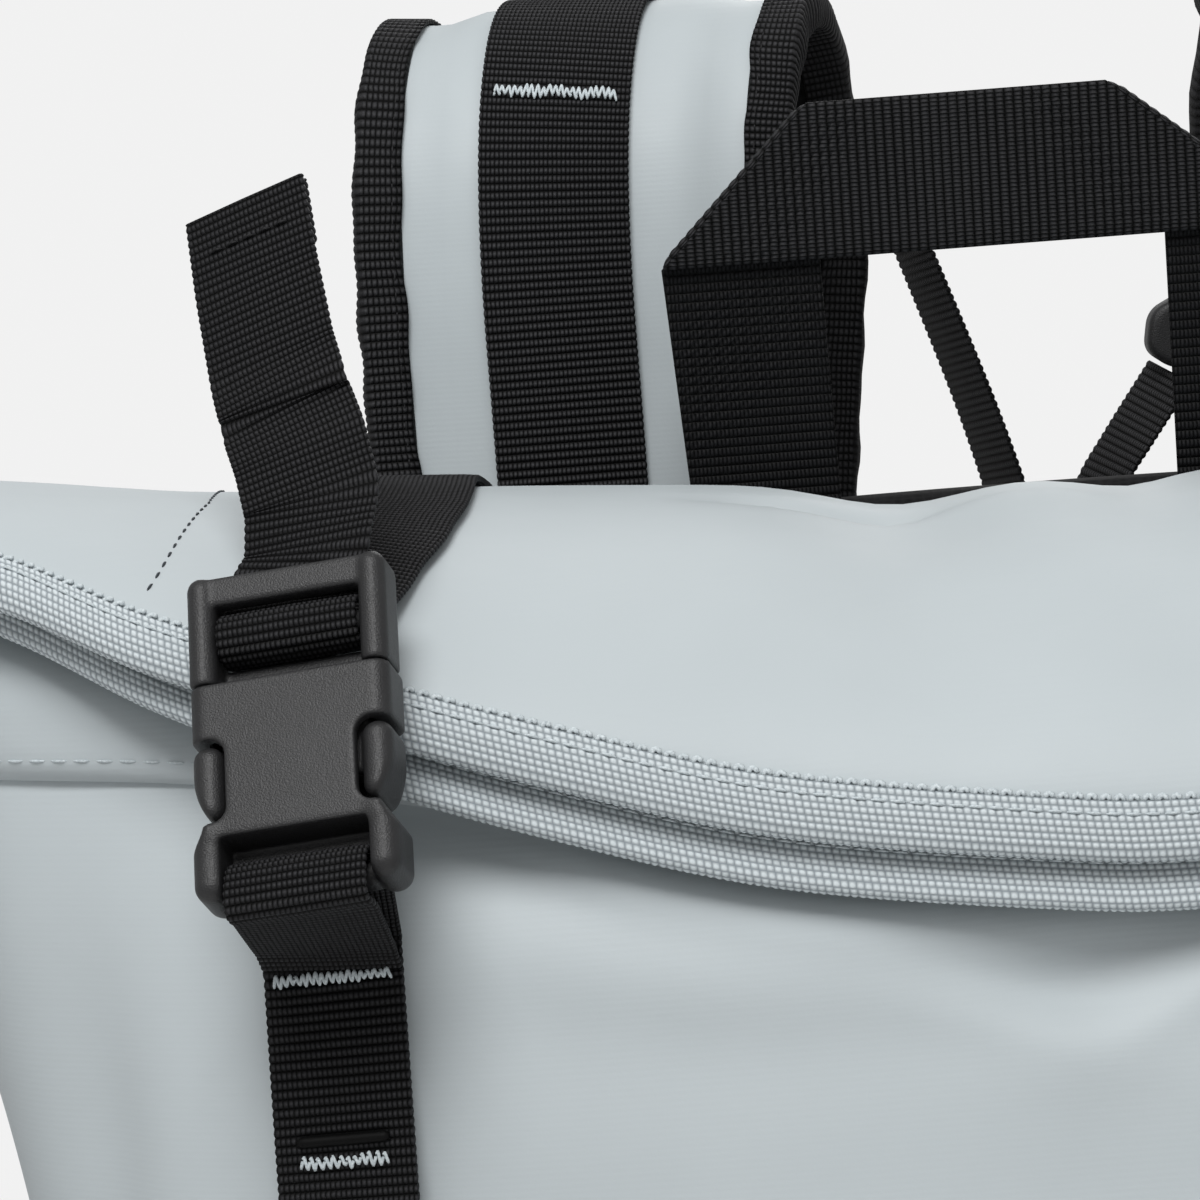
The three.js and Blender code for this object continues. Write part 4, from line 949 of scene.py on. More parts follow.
def buckle_piece(field, voxel):
    points, faces = moulded(field, (-16, -6, -25), (16, 6, 25), voxel)
    return Piece().add(from_buckle(points), faces, weave=points)


# Closure strap: from the back seam over the roof, through the tongue, out as the free tail
RIB = 1.3
ROOF_START_X = -93.5
ROOF_END = {"share": 0.83, "x": -102, "lift": 0.6}
TAIL_LINE = [
    (-105.0, -64, 407.2),
    (-106.6, -57, 414.4),
    (-108.5, -50.4, 419.6),
    (-108.7, -50.9, 421.0),
    (-110, -45.5, 426),
    (-111.8, -36.5, 438),
    (-113, -29, 449),
]
TONGUE_TURN = [
    (0, 3.6, 16),
    (0, 3.1, 13.3),
    (0, 1, 11.7),
    (0, -2, 11.6),
    (0, -3.8, 12.3),
    (0, -4.3, 14.6),
    (0, -3.9, 17),
    (0, -2.2, 18),
    (0, -0.4, 18.4),
    (0, 0.9, 19.8),
    (0.3, 1.4, 23.6),
    (1.6, 2.0, 28),
]
SOCKET_TURN = [
    (0, -1, -26.4),
    (0, -3.2, -27.1),
    (0, -4.8, -26.6),
    (0, -5.1, -25),
    (0, -4.4, -22),
    (0, -3.7, -20),
    (0, -1.5, -18.6),
    (0, 3.6, -18.6),
    (0, 6.2, -19),
]
ROOF_STEPS = 60
TAIL_SLOPE = 0.36
TAIL_TWIST = 30
TAIL_LEAN = 19
TAIL_RISE = 0.1
ROOF_ROWS = 20
ROOF_FROM, VEER_FROM = 0.05, 0.5
TAIL_HEM = {"rows": 34, "under": 0.92, "narrow": 0.4, "thin": 0.8}
TAIL_SEWN = {"row": 21, "half": 8, "steps": 40}
TAIL_STITCH = {"length": 2.0, "space": 0.7, "radius": 0.26}
SIDE_REACH = 6


def roof_point(x, share, lift):
    def surface(at):
        t = at / WING_HALF
        rear = SEAM[(COLUMNS - np.arange(STATIONS + 1)) % COLUMNS]
        seam = np.array([np.interp(t, FRONT_T, rear[:, k]) for k in range(3)])
        return resampled(outer_layer(t, seam), ROOF_STEPS)

    place = surface(x)
    k = int(round(share * ROOF_STEPS))
    side = unit(surface(x + SIDE_REACH)[k] - surface(x - SIDE_REACH)[k])
    return place[k] + layer_normals(place)[k] * (COLLAR_WALL / 2 + GAP + WEB / 2 + lift), side


def closure_strap():
    path, sides = [], []
    for k in range(ROOF_ROWS + 1):
        share = mix(ROOF_FROM, ROOF_END["share"], k / ROOF_ROWS)
        veer = max(share - VEER_FROM, 0) / (ROOF_END["share"] - VEER_FROM)
        at, side = roof_point(mix(ROOF_START_X, ROOF_END["x"], veer**2), share, ROOF_END["lift"])
        path.append(at)
        sides.append(side)
    right = BUCKLE_BASIS[:, 0]
    for place in TONGUE_TURN:
        path.append(from_buckle(place))
        sides.append(right)
    twist = math.radians(TAIL_TWIST)
    sides[-1] = unit(np.array([math.cos(twist), -math.sin(twist), TAIL_RISE]))
    turn = math.radians(TAIL_LEAN)
    lean = unit(np.array([math.cos(turn), -math.sin(turn), TAIL_SLOPE]))
    for k, point in enumerate(TAIL_LINE):
        path.append(np.array(point, float))
        sides.append(mix(right, lean, (k + 1) / len(TAIL_LINE)))
    piece = Piece()
    line, across, face = webbing(piece, path, sides, NARROW, WEB, RIB, reach=1.1)
    hem = TAIL_HEM["rows"]
    under = line[-hem:] + face[-hem:] * WEB * TAIL_HEM["under"]
    webbing(piece, under, across[-hem:], NARROW - TAIL_HEM["narrow"], WEB * TAIL_HEM["thin"], RIB, reach=0.8)
    sewn, steps = -TAIL_SEWN["row"], TAIL_SEWN["steps"]
    reach = np.linspace(-TAIL_SEWN["half"], TAIL_SEWN["half"], steps)[:, None]
    row = line[sewn - 1 : sewn + 1].mean(0) + across[sewn] * reach - face[sewn] * WEB / 2
    stitches(piece, row, np.tile(-face[sewn], (steps, 1)), TAIL_STITCH, 2)
    return piece


STRAP_X = -107
STRAP_STAND = 0.9
FRONT_END_Z = (288, 302, 318, 331, 339, 342)
FRONT_SHELF = (-107.6, -76, 345.4)
FRONT_LANDING = (-107.2, -73.6, 349.4)
FRONT_DOWN_Z = (346, 340, 328, 308, 275, 235, 185, 130, 80, 40, 24)
FRONT_TACKS = [
    {"z": 341, "width": 16.8, "height": 1.6, "teeth": 18, "radius": 0.26},
    {"z": 316.4, "width": 12.6, "height": 1.7, "teeth": 12, "radius": 0.26},
]
FRONT_FINE = 170
FRONT_TAB = {"z": 319.2, "half": 6.6, "radius": 0.85}


def front_strap():
    right = BUCKLE_BASIS[:, 0]
    flat = unit(np.array([0.97, -0.2, 0]))
    layer = WEB + GAP

    def rest(z, lift):
        return body_front(STRAP_X, z) - np.array([0, GAP + WEB / 2 + STRAP_STAND + lift, 0])

    path = [rest(z, layer) for z in FRONT_END_Z] + [np.array(FRONT_SHELF)]
    sides = [flat] * len(path)
    path += [from_buckle(place) for place in SOCKET_TURN] + [np.array(FRONT_LANDING)]
    sides += [right] * len(SOCKET_TURN) + [mix(right, flat, 0.5)]
    path += [rest(z, 0) for z in FRONT_DOWN_Z]
    sides += [flat] * len(FRONT_DOWN_Z)
    piece = Piece()
    line, across, face = webbing(piece, path, sides, NARROW, WEB, RIB, reach=1.1, fine=FRONT_FINE)
    sewn = line[: int(np.argmax(line[:, 2]))]

    def sewn_at(z):
        k = int(np.argmin(np.linalg.norm(sewn - rest(z, layer), axis=1)))
        return k, face[k] * np.sign(-face[k][1])

    for tack in FRONT_TACKS:
        k, out = sewn_at(tack["z"])
        zigzag(piece, line[k] + out * WEB / 2, out, unit(line[k + 1] - line[k]), tack)
    k, out = sewn_at(FRONT_TAB["z"])
    reach = np.linspace(-FRONT_TAB["half"], FRONT_TAB["half"], 24)[:, None]
    tube(piece, line[k] + out * WEB / 2 + across[k] * reach, FRONT_TAB["radius"], 0, sides=10)
    return piece


# Shoulder straps: the middle line from the root on the panel, over the arch, to the lower end
STRAP_WIDTH = 73
STRAP_THICK = 10
STRAP_EDGE = 5.2
STRAP_BIND = 10
WEBBING_OUT = 3.2
STRAP_RIB = 1.35
STRAP = table(
    "y z out",
    [
        (93.4, 340, 65.8),
        (93.4, 372, 65.8),
        (93.6, 405, 65.8),
        (94.2, 432, 65.8),
        (98, 452, 64.6),
        (107.6, 466, 61.8),
        (121, 471, 58),
        (135, 466.5, 54),
        (145, 453, 51.4),
        (149.5, 434, 50.8),
        (151.5, 405, 54),
        (153, 365, 58),
        (153, 315, 63),
        (150, 260, 69),
        (143, 205, 76),
        (132, 158, 83),
    ],
)
RIGHT_OUT = table("z add", [(340, 8), (405, 9), (471, 22)])
RIGHT_FAR_ADD = 30
STRAP_FAR_Y = 121
STRAP_FINE = 165
STRAP_TAPER = {"from": 0.8, "end": 0.62}
RIGHT_FADE = {"z": 160, "span": 160}
PAD = {"step": 3.0, "columns": 27, "slope": 9, "wave": 0.12, "long": 23, "wide": 17}
BIND_STITCH = {"length": 2.2, "space": 0.9, "radius": 0.2, "in": 1.5, "lift": 0.05}
BIND = {"short": 3, "rough": 0.26, "sunk": 0.1, "nose": 2.4, "rows": 4, "turns": 7, "sparse": 3}
STRAP_TACK = {"width": 20.6, "height": 2.2, "teeth": 21, "radius": 0.25}
STRAP_TACK_Z = (461, 366)


def catmull(points, per):
    """A smooth curve through points, a given number of steps for each span."""
    p = np.concatenate([2 * points[:1] - points[1:2], points, 2 * points[-1:] - points[-2:-1]])
    s = np.linspace(0, 1, per, endpoint=False)[:, None]
    spans = []
    for k in range(1, len(p) - 2):
        a, b, c, d = p[k - 1], p[k], p[k + 1], p[k + 2]
        spans.append(
            0.5 * (2 * b + (c - a) * s + (2 * a - 5 * b + 4 * c - d) * s**2 + (3 * b - a - 3 * c + d) * s**3)
        )
    return np.concatenate(spans + [points[-1:]])


def strap_frames(side, step):
    y, z, out = STRAP["y"], STRAP["z"], STRAP["out"]
    add = np.where(y > STRAP_FAR_Y, RIGHT_FAR_ADD, along(RIGHT_OUT, "z", z, "add"))
    add = add * ease((z - RIGHT_FADE["z"]) / RIGHT_FADE["span"])
    line = catmull(vec(side * out + (add if side > 0 else 0), y, z), 24)
    count = int(round(lengths(line)[-1] / step))
    line = softened(resampled(line, count), 3, step)
    ahead = heads(line)
    across = unit(np.array([[1.0, 0, 0]]) - ahead * ahead[:, :1])
    face = -unit(np.cross(ahead, across))
    share = np.linspace(0, 1, len(line))
    taper = ease((share - STRAP_TAPER["from"]) / (1 - STRAP_TAPER["from"]))
    half = STRAP_WIDTH / 2 * mix(1, STRAP_TAPER["end"], taper)
    return line, across, face, half, share * lengths(line)[-1]


def strap_pad(side):
    line, across, face, half, run = strap_frames(side, PAD["step"])
    w = np.linspace(-1, 1, PAD["columns"])
    edge = (half - TAPE["thick"] - GAP)[:, None]
    place = w[None] * edge
    inner = np.maximum((half - STRAP_BIND)[:, None], 1)
    swell = ease((inner - np.abs(place)) / PAD["slope"])
    height = mix(STRAP_EDGE / 2, STRAP_THICK / 2, swell)
    height = height + PAD["wave"] * np.sin(run / PAD["long"])[:, None] * np.cos(place / PAD["wide"])
    middle = line[:, None] + across[:, None] * place[..., None]
    lift = face[:, None] * height[..., None]
    rings = np.concatenate([middle + lift, (middle - lift)[:, ::-1]], axis=1)
    return Piece().add_rings(rings).split_finish(len(w))


def strap_binding(side, end):
    whole = strap_frames(side, STRAP_RIB / ROWS_PER_RIB)
    keep = kept_rows(len(whole[0]), STRAP_RIB, STRAP_FINE)
    line, across, face, half, run = (column[keep] for column in whole)
    outside = half - TAPE["thick"] - GAP
    rim = line + across * (end * outside)[:, None]
    reach = STRAP_BIND - BIND["short"]
    inner = STRAP_EDGE / 2 + GAP
    rib = ribs(run, STRAP_RIB)
    sway = 1.1 * np.sin(run / 4.1) + 0.9 * np.sin(run / 2.3 + 1.0)
    pucker = 0.5 + 0.25 * np.sin(run / 2.6) + 0.25 * np.sin(run / 1.7 + 2.0)
    back = np.linspace(1, 0, BIND["rows"])
    turn = np.linspace(0, np.pi, BIND["turns"])[1:-1]

    def skin(offset, rough):
        lift = (offset + rough * (rib + pucker))[:, None, None]
        spread = back[None, :, None] * (reach + rough * sway)[:, None, None]
        top = rim[:, None] - across[:, None] * end * spread + face[:, None] * lift
        bottom = rim[:, None] - across[:, None] * end * spread[:, ::-1] - face[:, None] * lift
        nose = (offset - inner + GAP + rough * (rib + BIND["nose"] * pucker))[:, None, None]
        around = (
            rim[:, None]
            + face[:, None] * np.cos(turn)[None, :, None] * lift
            + across[:, None] * end * np.sin(turn)[None, :, None] * nose
        )
        return np.concatenate([top, around, bottom], axis=1)

    far = skin(inner + TAPE["thick"] - BIND["sunk"], BIND["rough"])
    near = skin(inner, 0)
    rings = np.concatenate([far, near[:, :: -BIND["sparse"]]], axis=1)
    w = np.concatenate([reach * back, np.zeros(len(turn)), reach * back[::-1]])
    w = np.concatenate([w, w[:: -BIND["sparse"]]])
    piece = Piece().add_rings(rings, vec(w[None] + 0 * run[:, None], run[:, None], np.zeros((1, 1))))
    near_end = run < STRAP_FINE
    lift = inner + TAPE["thick"] + BIND_STITCH["lift"]
    row = rim - across * end * (reach - BIND_STITCH["in"]) + face * lift
    stitches(piece, row[near_end], face[near_end], BIND_STITCH, 1)
    return piece


def strap_webbing(side):
    line, across, face = strap_frames(side, 1.0)[:3]
    lift = STRAP_THICK / 2 + 2 * GAP + WEB / 2
    path = line + across * side * WEBBING_OUT + face * lift
    piece = Piece()
    line, _, front = webbing(piece, path, across, BROAD, WEB, STRAP_RIB, columns=12, fine=STRAP_FINE)
    sign = 1 if front[0][1] < 0 else -1
    for z in STRAP_TACK_Z:
        near = np.where(line[:, 1] < STRAP_FAR_Y, np.abs(line[:, 2] - z), np.inf)
        k = int(np.argmin(near))
        out = front[k] * sign
        zigzag(piece, line[k] + out * WEB / 2, out, unit(line[k + 1] - line[k]), STRAP_TACK)
    return piece


# Lower ends of the shoulder straps
LOCK = {"width": 33, "height": 26, "thick": 5, "bar": 4, "below": 3, "rail": 3.2}
LOCK_BARS = (0, 0.36, 0.68, 1)
PANEL = {"half": 120, "low": 14, "high": 391.6, "near": 70.6, "far": 85.6, "corner": 38, "arch": 3}
ADJUSTER = {"foot_x": 92, "foot_z": 30, "rise": 28, "lead": 24, "lean": 2, "steps": 12, "sewn_row": 12}
FOOT_TACK = {"width": 18, "height": 2.4, "teeth": 14, "radius": 0.2}


def lower_end(side):
    line, across, face = strap_frames(side, 1.0)[:3]
    return line[-1], across[-1], face[-1], heads(line)[-1]


def lock_field(p):
    half, thick = LOCK["width"] / 2, LOCK["thick"] / 2
    made = None
    for share in LOCK_BARS:
        v = share * (LOCK["height"] - LOCK["bar"])
        bar = box_field(p, (-half + 1, -thick, v), (half - 1, thick, v + LOCK["bar"]), 1.5)
        made = bar if made is None else join(made, bar, 0.4)
    for s in (-1, 1):
        a, b = sorted((s * half, s * (half - LOCK["rail"])))
        made = join(made, box_field(p, (a, -thick, 0), (b, thick, LOCK["height"]), 1.4), 0.6)
    return made


def ladder_lock(side):
    at, across, face, head = lower_end(side)
    half, thick = LOCK["width"] / 2, LOCK["thick"] / 2
    points, faces = moulded(lock_field, (-half, -thick, 0), (half, thick, LOCK["height"]), PLAIN_VOXEL)
    basis = np.stack([across, -face, head])
    return Piece().add(points @ basis + at + head * LOCK["below"], faces, weave=points)


def adjuster(side):
    at, across, _, head = lower_end(side)
    start = at + head * (LOCK["below"] + LOCK["height"] + 1.5 * GAP)
    foot = np.array([side * ADJUSTER["foot_x"], PANEL["far"] + GAP + WEB / 2, ADJUSTER["foot_z"]])
    rise = foot + np.array([0, 0, ADJUSTER["rise"]])
    s = np.linspace(0, 1, ADJUSTER["steps"])[:, None]
    a = start + head * ADJUSTER["lead"]
    b = rise + np.array([0, ADJUSTER["lean"], ADJUSTER["lead"]])
    curve = start * (1 - s) ** 3 + 3 * a * s * (1 - s) ** 2 + 3 * b * s**2 * (1 - s) + rise * s**3
    path = np.concatenate([curve, foot[None]])
    sides = mix(across, np.array([1.0, 0, 0]), np.linspace(0, 1, len(path))[:, None])
    piece = Piece()
    line, _, front = webbing(piece, path, sides, BROAD, WEB, STRAP_RIB, fine=0)
    out = front[-1] if front[-1][1] > 0 else -front[-1]
    zigzag(piece, line[-ADJUSTER["sewn_row"]] + out * WEB / 2, out, np.array([0, 0, 1.0]), FOOT_TACK)
    return piece


# Sternum strap, hanging slack between the two shoulder straps
STERNUM_WIDTH = 15
STERNUM_LINE = np.array(
    [
        (-14.6, 149, 452),
        (-11.4, 148.6, 444),
        (-6.4, 148, 430),
        (1.8, 147.5, 405),
        (6.6, 147, 388),
        (9.4, 147, 376),
        (15.6, 147, 369),
        (21.4, 147, 375),
        (24, 147, 385),
        (29.4, 147.5, 393),
        (37.8, 148, 404.2),
    ],
    float,
)
STERNUM_TURN = (71, 57)
STERNUM_CLIP = [(33.4, 408.2), (38.4, 404.5), (44.6, 408.4), (45.3, 414), (41, 418.4), (34.6, 415.2)]
STERNUM_CLIP_Y = (144, 152)


def sternum_webbing():
    path = catmull(STERNUM_LINE, 12)
    angle = np.radians(np.linspace(*STERNUM_TURN, len(path)))
    sides = vec(-np.cos(angle), np.sin(angle), np.zeros(len(path)))
    piece = Piece()
    webbing(piece, path, sides, STERNUM_WIDTH, WEB, STRAP_RIB, columns=8)
    return piece


def clip_field(p):
    """A flat clip with a rounded outline and a ridge round its face."""
    corners = np.array(STERNUM_CLIP)
    centre = corners.mean(0)
    made = np.full(p.shape[:-1], -50.0)
    for a, b in zip(corners, np.roll(corners, -1, axis=0)):
        out = np.array([b[1] - a[1], a[0] - b[0]])
        out = out / np.hypot(*out)
        if out @ (a - centre) < 0:
            out = -out
        side = (p[..., 0] - a[0]) * out[0] + (p[..., 2] - a[1]) * out[1]
        made = -join(-made, -side, 2.0)
    middle = (STERNUM_CLIP_Y[0] + STERNUM_CLIP_Y[1]) / 2
    slab = np.abs(p[..., 1] - middle) - (STERNUM_CLIP_Y[1] - STERNUM_CLIP_Y[0]) / 2
    made = -join(-made, -slab, 1.6)
    dish = np.maximum(made + 2.6, np.abs(p[..., 1] - STERNUM_CLIP_Y[0]) - 0.8)
    return cut(made, dish, 0.5)


def sternum_clip():
    points, faces = moulded(clip_field, (31, 143, 402), (47, 153, 421), FINE_VOXEL)
    return Piece().add(points, faces, weave=points)


# Haul handle: a band in front of two legs, each corner folded over at a slant
HANDLE = {"y": 68.6, "thick": 1.7, "low": 372, "band_low": 431.6, "leg_out": 52, "layer": 2.1, "lean": 0.14}
HANDLE_SLANT, HANDLE_SHIFT = 6, 2.4
HANDLE_RIB = 1.5
HANDLE_THIN = 0.62
LEFT_FOOT = (3.6, 1.8)
RIGHT_TOP_DROP = 7.6
CORNER = {"steps": 90, "sides": 16, "inset": 0.012, "stretch": 1.41, "wide": 0.36, "deep": 0.9, "rib": 0.1}
CORNER_END = {"rate": 14, "least": 0.04, "deep": 0.75}
CORNER_WEAVE = 1.5


def plain_strip(piece, starts, ends, depth, rib_axis, finish=0):
    """A flat ribbed strip between two edges in the upright plane. Each edge is a line across the strip."""
    section = web_section(12)
    w = (section[:, 0] + 1) / 2
    longest = np.linalg.norm(ends - starts, axis=1).max()
    count = int(longest / (HANDLE_RIB / ROWS_PER_RIB))
    q = np.linspace(0, 1, count + 1)[:, None, None]
    start = mix(starts[0], starts[1], w[:, None])
    end = mix(ends[0], ends[1], w[:, None])
    flat = mix(start[None], end[None], q)
    thin = mix(HANDLE_THIN, 1, ribs(flat[..., rib_axis], HANDLE_RIB))
    n = section[:, 1][None] * (HANDLE["thick"] / 2) * thin
    rings = vec(flat[..., 0], depth - n, flat[..., 1])
    other = flat[..., 1 - rib_axis]
    weave = vec(other, flat[..., rib_axis], np.sign(section[:, 1])[None])
    piece.add_rings(rings, weave, finish)


def haul_handle():
    piece = Piece()
    low, band_low = HANDLE["low"], HANDLE["band_low"]
    band_high = band_low + BROAD
    out, inside = HANDLE["leg_out"], HANDLE["leg_out"] - BROAD
    back = HANDLE["y"] + HANDLE["thick"] / 2
    front = back - HANDLE["layer"]
    left_line = np.array([(-out, band_low), (-inside, band_high)], float)
    right_line = np.array([(out, band_low), (inside - HANDLE_SLANT, band_high)], float)
    plain_strip(piece, left_line, right_line, front, 0)
    left_foot = np.array([(LEFT_FOOT[0] - out, low), (LEFT_FOOT[1] - inside, low)], float)
    right_foot = np.array([(out, low), (inside + HANDLE_SHIFT, low)], float)
    right_top = np.array([(out, band_low), (inside + HANDLE_SHIFT, band_high - RIGHT_TOP_DROP)], float)
    # The legs take the second finish, a darker copy of the handle's webbing: painted shade where the band in
    # front shades them.
    plain_strip(piece, left_foot, left_line, back, 1, finish=1)
    plain_strip(piece, right_foot, right_top, back, 1, finish=1)
    for line in (left_line, right_line):
        steps, stretch = CORNER["steps"], CORNER["stretch"]
        share = np.linspace(0, 1, steps)[:, None]
        at = mix(line[0], line[1], mix(CORNER["inset"], 1 - CORNER["inset"], share))
        away = unit(np.array([line[1][1] - line[0][1], line[0][0] - line[1][0]]))
        if away[0] * line[0][0] < 0:
            away = -away
        run = np.linspace(0, np.linalg.norm(line[1] - line[0]), steps)
        rib = CORNER["rib"] * ribs(run, stretch * HANDLE_RIB)[:, None]
        angle = np.linspace(0, 2 * np.pi, CORNER["sides"], endpoint=False)[None]
        middle = (front + back) / 2
        radius = HANDLE["layer"] / 2 + HANDLE["thick"] / 2
        nearest = np.minimum(share, 1 - share)
        round_end = np.sqrt(np.clip(nearest * CORNER_END["rate"], CORNER_END["least"], 1))
        wide = (CORNER["wide"] + rib) * radius * np.cos(angle) * round_end
        deep = (CORNER["deep"] + rib) * radius * np.sin(angle) * mix(CORNER_END["deep"], 1, round_end)
        rings = vec(at[:, :1] + away[0] * wide, middle + deep, at[:, 1:] + away[1] * wide)
        weave = vec(wide * CORNER_WEAVE, run[:, None] / stretch, np.ones((1, 1)))
        piece.add_rings(rings, weave)
    for k, points in enumerate(piece.points):
        shifted = points.copy()
        shifted[:, 1] -= HANDLE["lean"] * (shifted[:, 2] - low)
        piece.points[k] = shifted
    return piece


# Padded back panel: rows of its section, each with its inset and its depth from the near or far face
PANEL_NEAR_ROWS = [(3.2, 0), (0.8, 1), (0, 3.2)]
PANEL_FAR_ROWS = [
    (0, -6), (0.8, -3.6), (2.8, -1.6), (6, -0.6), (9.6, -0.1),
    (16, 0.1), (26, 0), (40, -0.1), (70, -0.2), (100, 0),
]
PANEL_POINTS = 260
PANEL_CORE = {"inset": 30, "z": 200.0, "span": 95}
PANEL_QUILT = {"depth": 0.35, "wide": 13, "high": 17, "from": 8, "span": 20}
PANEL_STITCH = {"length": 2.4, "space": 1.2, "radius": 0.25, "inset": 7.5, "sunk": 0.2}


def panel_outline(inset, steps=24):
    half, low = PANEL["half"] - inset, PANEL["low"] + inset
    high, radius = PANEL["high"] - PANEL["arch"] - inset, PANEL["corner"] - inset
    points = []
    for x, z, start in (
        (half - radius, low + radius, -0.5),
        (half - radius, high - radius, 0),
        (radius - half, high - radius, 0.5),
        (radius - half, low + radius, 1),
    ):
        angle = np.pi * (start + 0.5 * np.linspace(0, 1, steps + 1))
        points.append(np.stack([x + radius * np.cos(angle), z + radius * np.sin(angle)], -1))
    ring = np.concatenate(points + [points[0][:1]])
    ring = resampled(ring, PANEL_POINTS)[:-1]
    x, z = ring[:, 0], ring[:, 1]
    lift = np.clip((z - high + radius) / radius, 0, 1)
    return np.stack([x, z + PANEL["arch"] * (1 - (x / half) ** 2) * lift], -1)


def back_panel():
    near, far = PANEL["near"], PANEL["far"]
    rows = [(inset, near + depth) for inset, depth in PANEL_NEAR_ROWS]
    rows += [(inset, far + depth) for inset, depth in PANEL_FAR_ROWS]
    core, quilt = PANEL_CORE, PANEL_QUILT
    rings = []
    for inset, y in rows:
        if inset < PANEL["corner"] - 2:
            outline = panel_outline(inset)
        else:
            share = (inset - core["inset"]) / core["span"]
            outline = mix(panel_outline(core["inset"]), np.array([0, core["z"]]), share)
        bulge = np.sin(outline[:, 0] / quilt["wide"]) * np.sin(outline[:, 1] / quilt["high"])
        bulge = bulge * quilt["depth"] * ease((inset - quilt["from"]) / quilt["span"])
        rings.append(vec(outline[:, 0], y - np.abs(bulge), outline[:, 1]))
    piece = Piece().add_rings(rings)
    outline = panel_outline(PANEL_STITCH["inset"])
    outline = np.concatenate([outline, outline[:1]])
    row = vec(outline[:, 0], far - PANEL_STITCH["sunk"], outline[:, 1])
    stitches(piece, row, np.tile(np.array([0, 1.0, 0]), (len(row), 1)), PANEL_STITCH, 1)
    return piece


# Materials
class Finish:
    """A material with one surface shader, and short ways to add nodes to it."""

    def __init__(self, name, roughness, specular=0.5):
        self.material = bpy.data.materials.new(name)
        self.material.use_nodes = True
        self.tree = self.material.node_tree
        self.shader = self.tree.nodes["Principled BSDF"]
        self.shader.inputs["Roughness"].default_value = roughness
        self.shader.inputs["Specular IOR Level"].default_value = specular

    def node(self, kind, **values):
        made = self.tree.nodes.new(kind)
        for name, value in values.items():
            setattr(made, name, value)
        return made

    def link(self, source, target):
        self.tree.links.new(source, target)

    def math(self, operation, a, b=None):
        made = self.node("ShaderNodeMath", operation=operation)
        for k, value in enumerate((a, b)):
            if value is None:
                continue
            if isinstance(value, (int, float)):
                made.inputs[k].default_value = value
            else:
                self.link(value, made.inputs[k])
        return made.outputs[0]

    def place(self):
        return self.node("ShaderNodeTexCoord").outputs["Object"]

    def weave(self):
        source = self.node("ShaderNodeAttribute", attribute_name="weave")
        split = self.node("ShaderNodeSeparateXYZ")
        self.link(source.outputs["Vector"], split.inputs[0])
        return split.outputs["X"], split.outputs["Y"]

    def humps(self, value):
        """A row of round humps, one for each whole step of the value."""
        return self.math("ABSOLUTE", self.math("SINE", self.math("MULTIPLY", value, math.pi)))

    def noise(self, scale, detail=4.0, rough=0.55, vector=None):
        made = self.node("ShaderNodeTexNoise")
        made.inputs["Scale"].default_value = scale
        made.inputs["Detail"].default_value = detail
        made.inputs["Roughness"].default_value = rough
        self.link(vector or self.place(), made.inputs["Vector"])
        return made.outputs["Fac"]

    def ramp(self, factor, stops):
        made = self.node("ShaderNodeValToRGB")
        ramp = made.color_ramp
        while len(ramp.elements) < len(stops):
            ramp.elements.new(0.5)
        for element, (position, color) in zip(ramp.elements, stops):
            element.position = position
            element.color = (*color, 1)
        self.link(factor, made.inputs["Fac"])
        return made.outputs["Color"]

    def color(self, source):
        self.link(source, self.shader.inputs["Base Color"])

    def rough(self, factor, low, high):
        made = self.node("ShaderNodeMapRange")
        made.inputs["To Min"].default_value = low
        made.inputs["To Max"].default_value = high
        self.link(factor, made.inputs["Value"])
        self.link(made.outputs["Result"], self.shader.inputs["Roughness"])

    def bump(self, layers):
        """Bumps one over the other: height, strength and distance in metres for each."""
        normal = None
        for height, strength, distance in layers:
            made = self.node("ShaderNodeBump")
            made.inputs["Strength"].default_value = strength
            made.inputs["Distance"].default_value = distance
            self.link(height, made.inputs["Height"])
            if normal is not None:
                self.link(normal, made.inputs["Normal"])
            normal = made.outputs["Normal"]
        self.link(normal, self.shader.inputs["Normal"])


def linear(*parts):
    """Linear colour from display values of 0 to 255."""
    return tuple((p / 255) ** 2.2 for p in parts)


def tarp_finish(name, low, high):
    """Coated cloth: a smooth pale skin over a faint weave, with soft clouds of tone."""
    made = Finish(name, 0.5, 0.35)
    cloud = made.noise(16, 3)
    made.color(made.ramp(cloud, [(0.3, low), (0.7, high)]))
    grain = made.noise(2600, 2)
    split = made.node("ShaderNodeSeparateXYZ")
    made.link(made.place(), split.inputs[0])
    thread = made.math("SINE", made.math("MULTIPLY", split.outputs["Z"], 2 * math.pi / 0.0009))
    made.rough(made.noise(120, 4), 0.46, 0.58)
    made.bump([(grain, 0.12, 0.0001), (thread, 0.035, 0.0001), (made.noise(70, 3), 0.12, 0.0006)])
    return made.material


def web_finish(name, pitch, column, dark, light):
    """Ribbed webbing: rows of short upright threads, each row parted from the next by a groove. The colour
    is lighter on the rib crests, a painted highlight, and darker in the grooves, painted shade, with the
    fibre noise as the threads' own tone.
    """
    made = Finish(name, 0.62, 0.18)
    u, v = made.weave()
    row = made.math("DIVIDE", v, pitch)
    sway = made.math("MULTIPLY", made.noise(700, 2), 0.35)
    spot = made.math("ADD", made.math("DIVIDE", u, column), sway)
    across, down = made.humps(spot), made.humps(row)
    grain = made.math("MULTIPLY", made.math("POWER", across, 0.4), made.math("POWER", down, 0.6))
    fibre = made.noise(2600, 3)
    # Painted highlight on the rib crests and painted shade in the grooves, both put into the colour; the
    # fibre noise adds the threads' own tone.
    tone = made.math("MULTIPLY", made.math("POWER", grain, 1.9), made.math("ADD", fibre, 0.4))
    made.color(made.ramp(tone, [(0.1, dark), (0.95, light)]))
    made.bump([(grain, 1.0, 0.00035), (fibre, 0.3, 0.0001)])
    return made.material


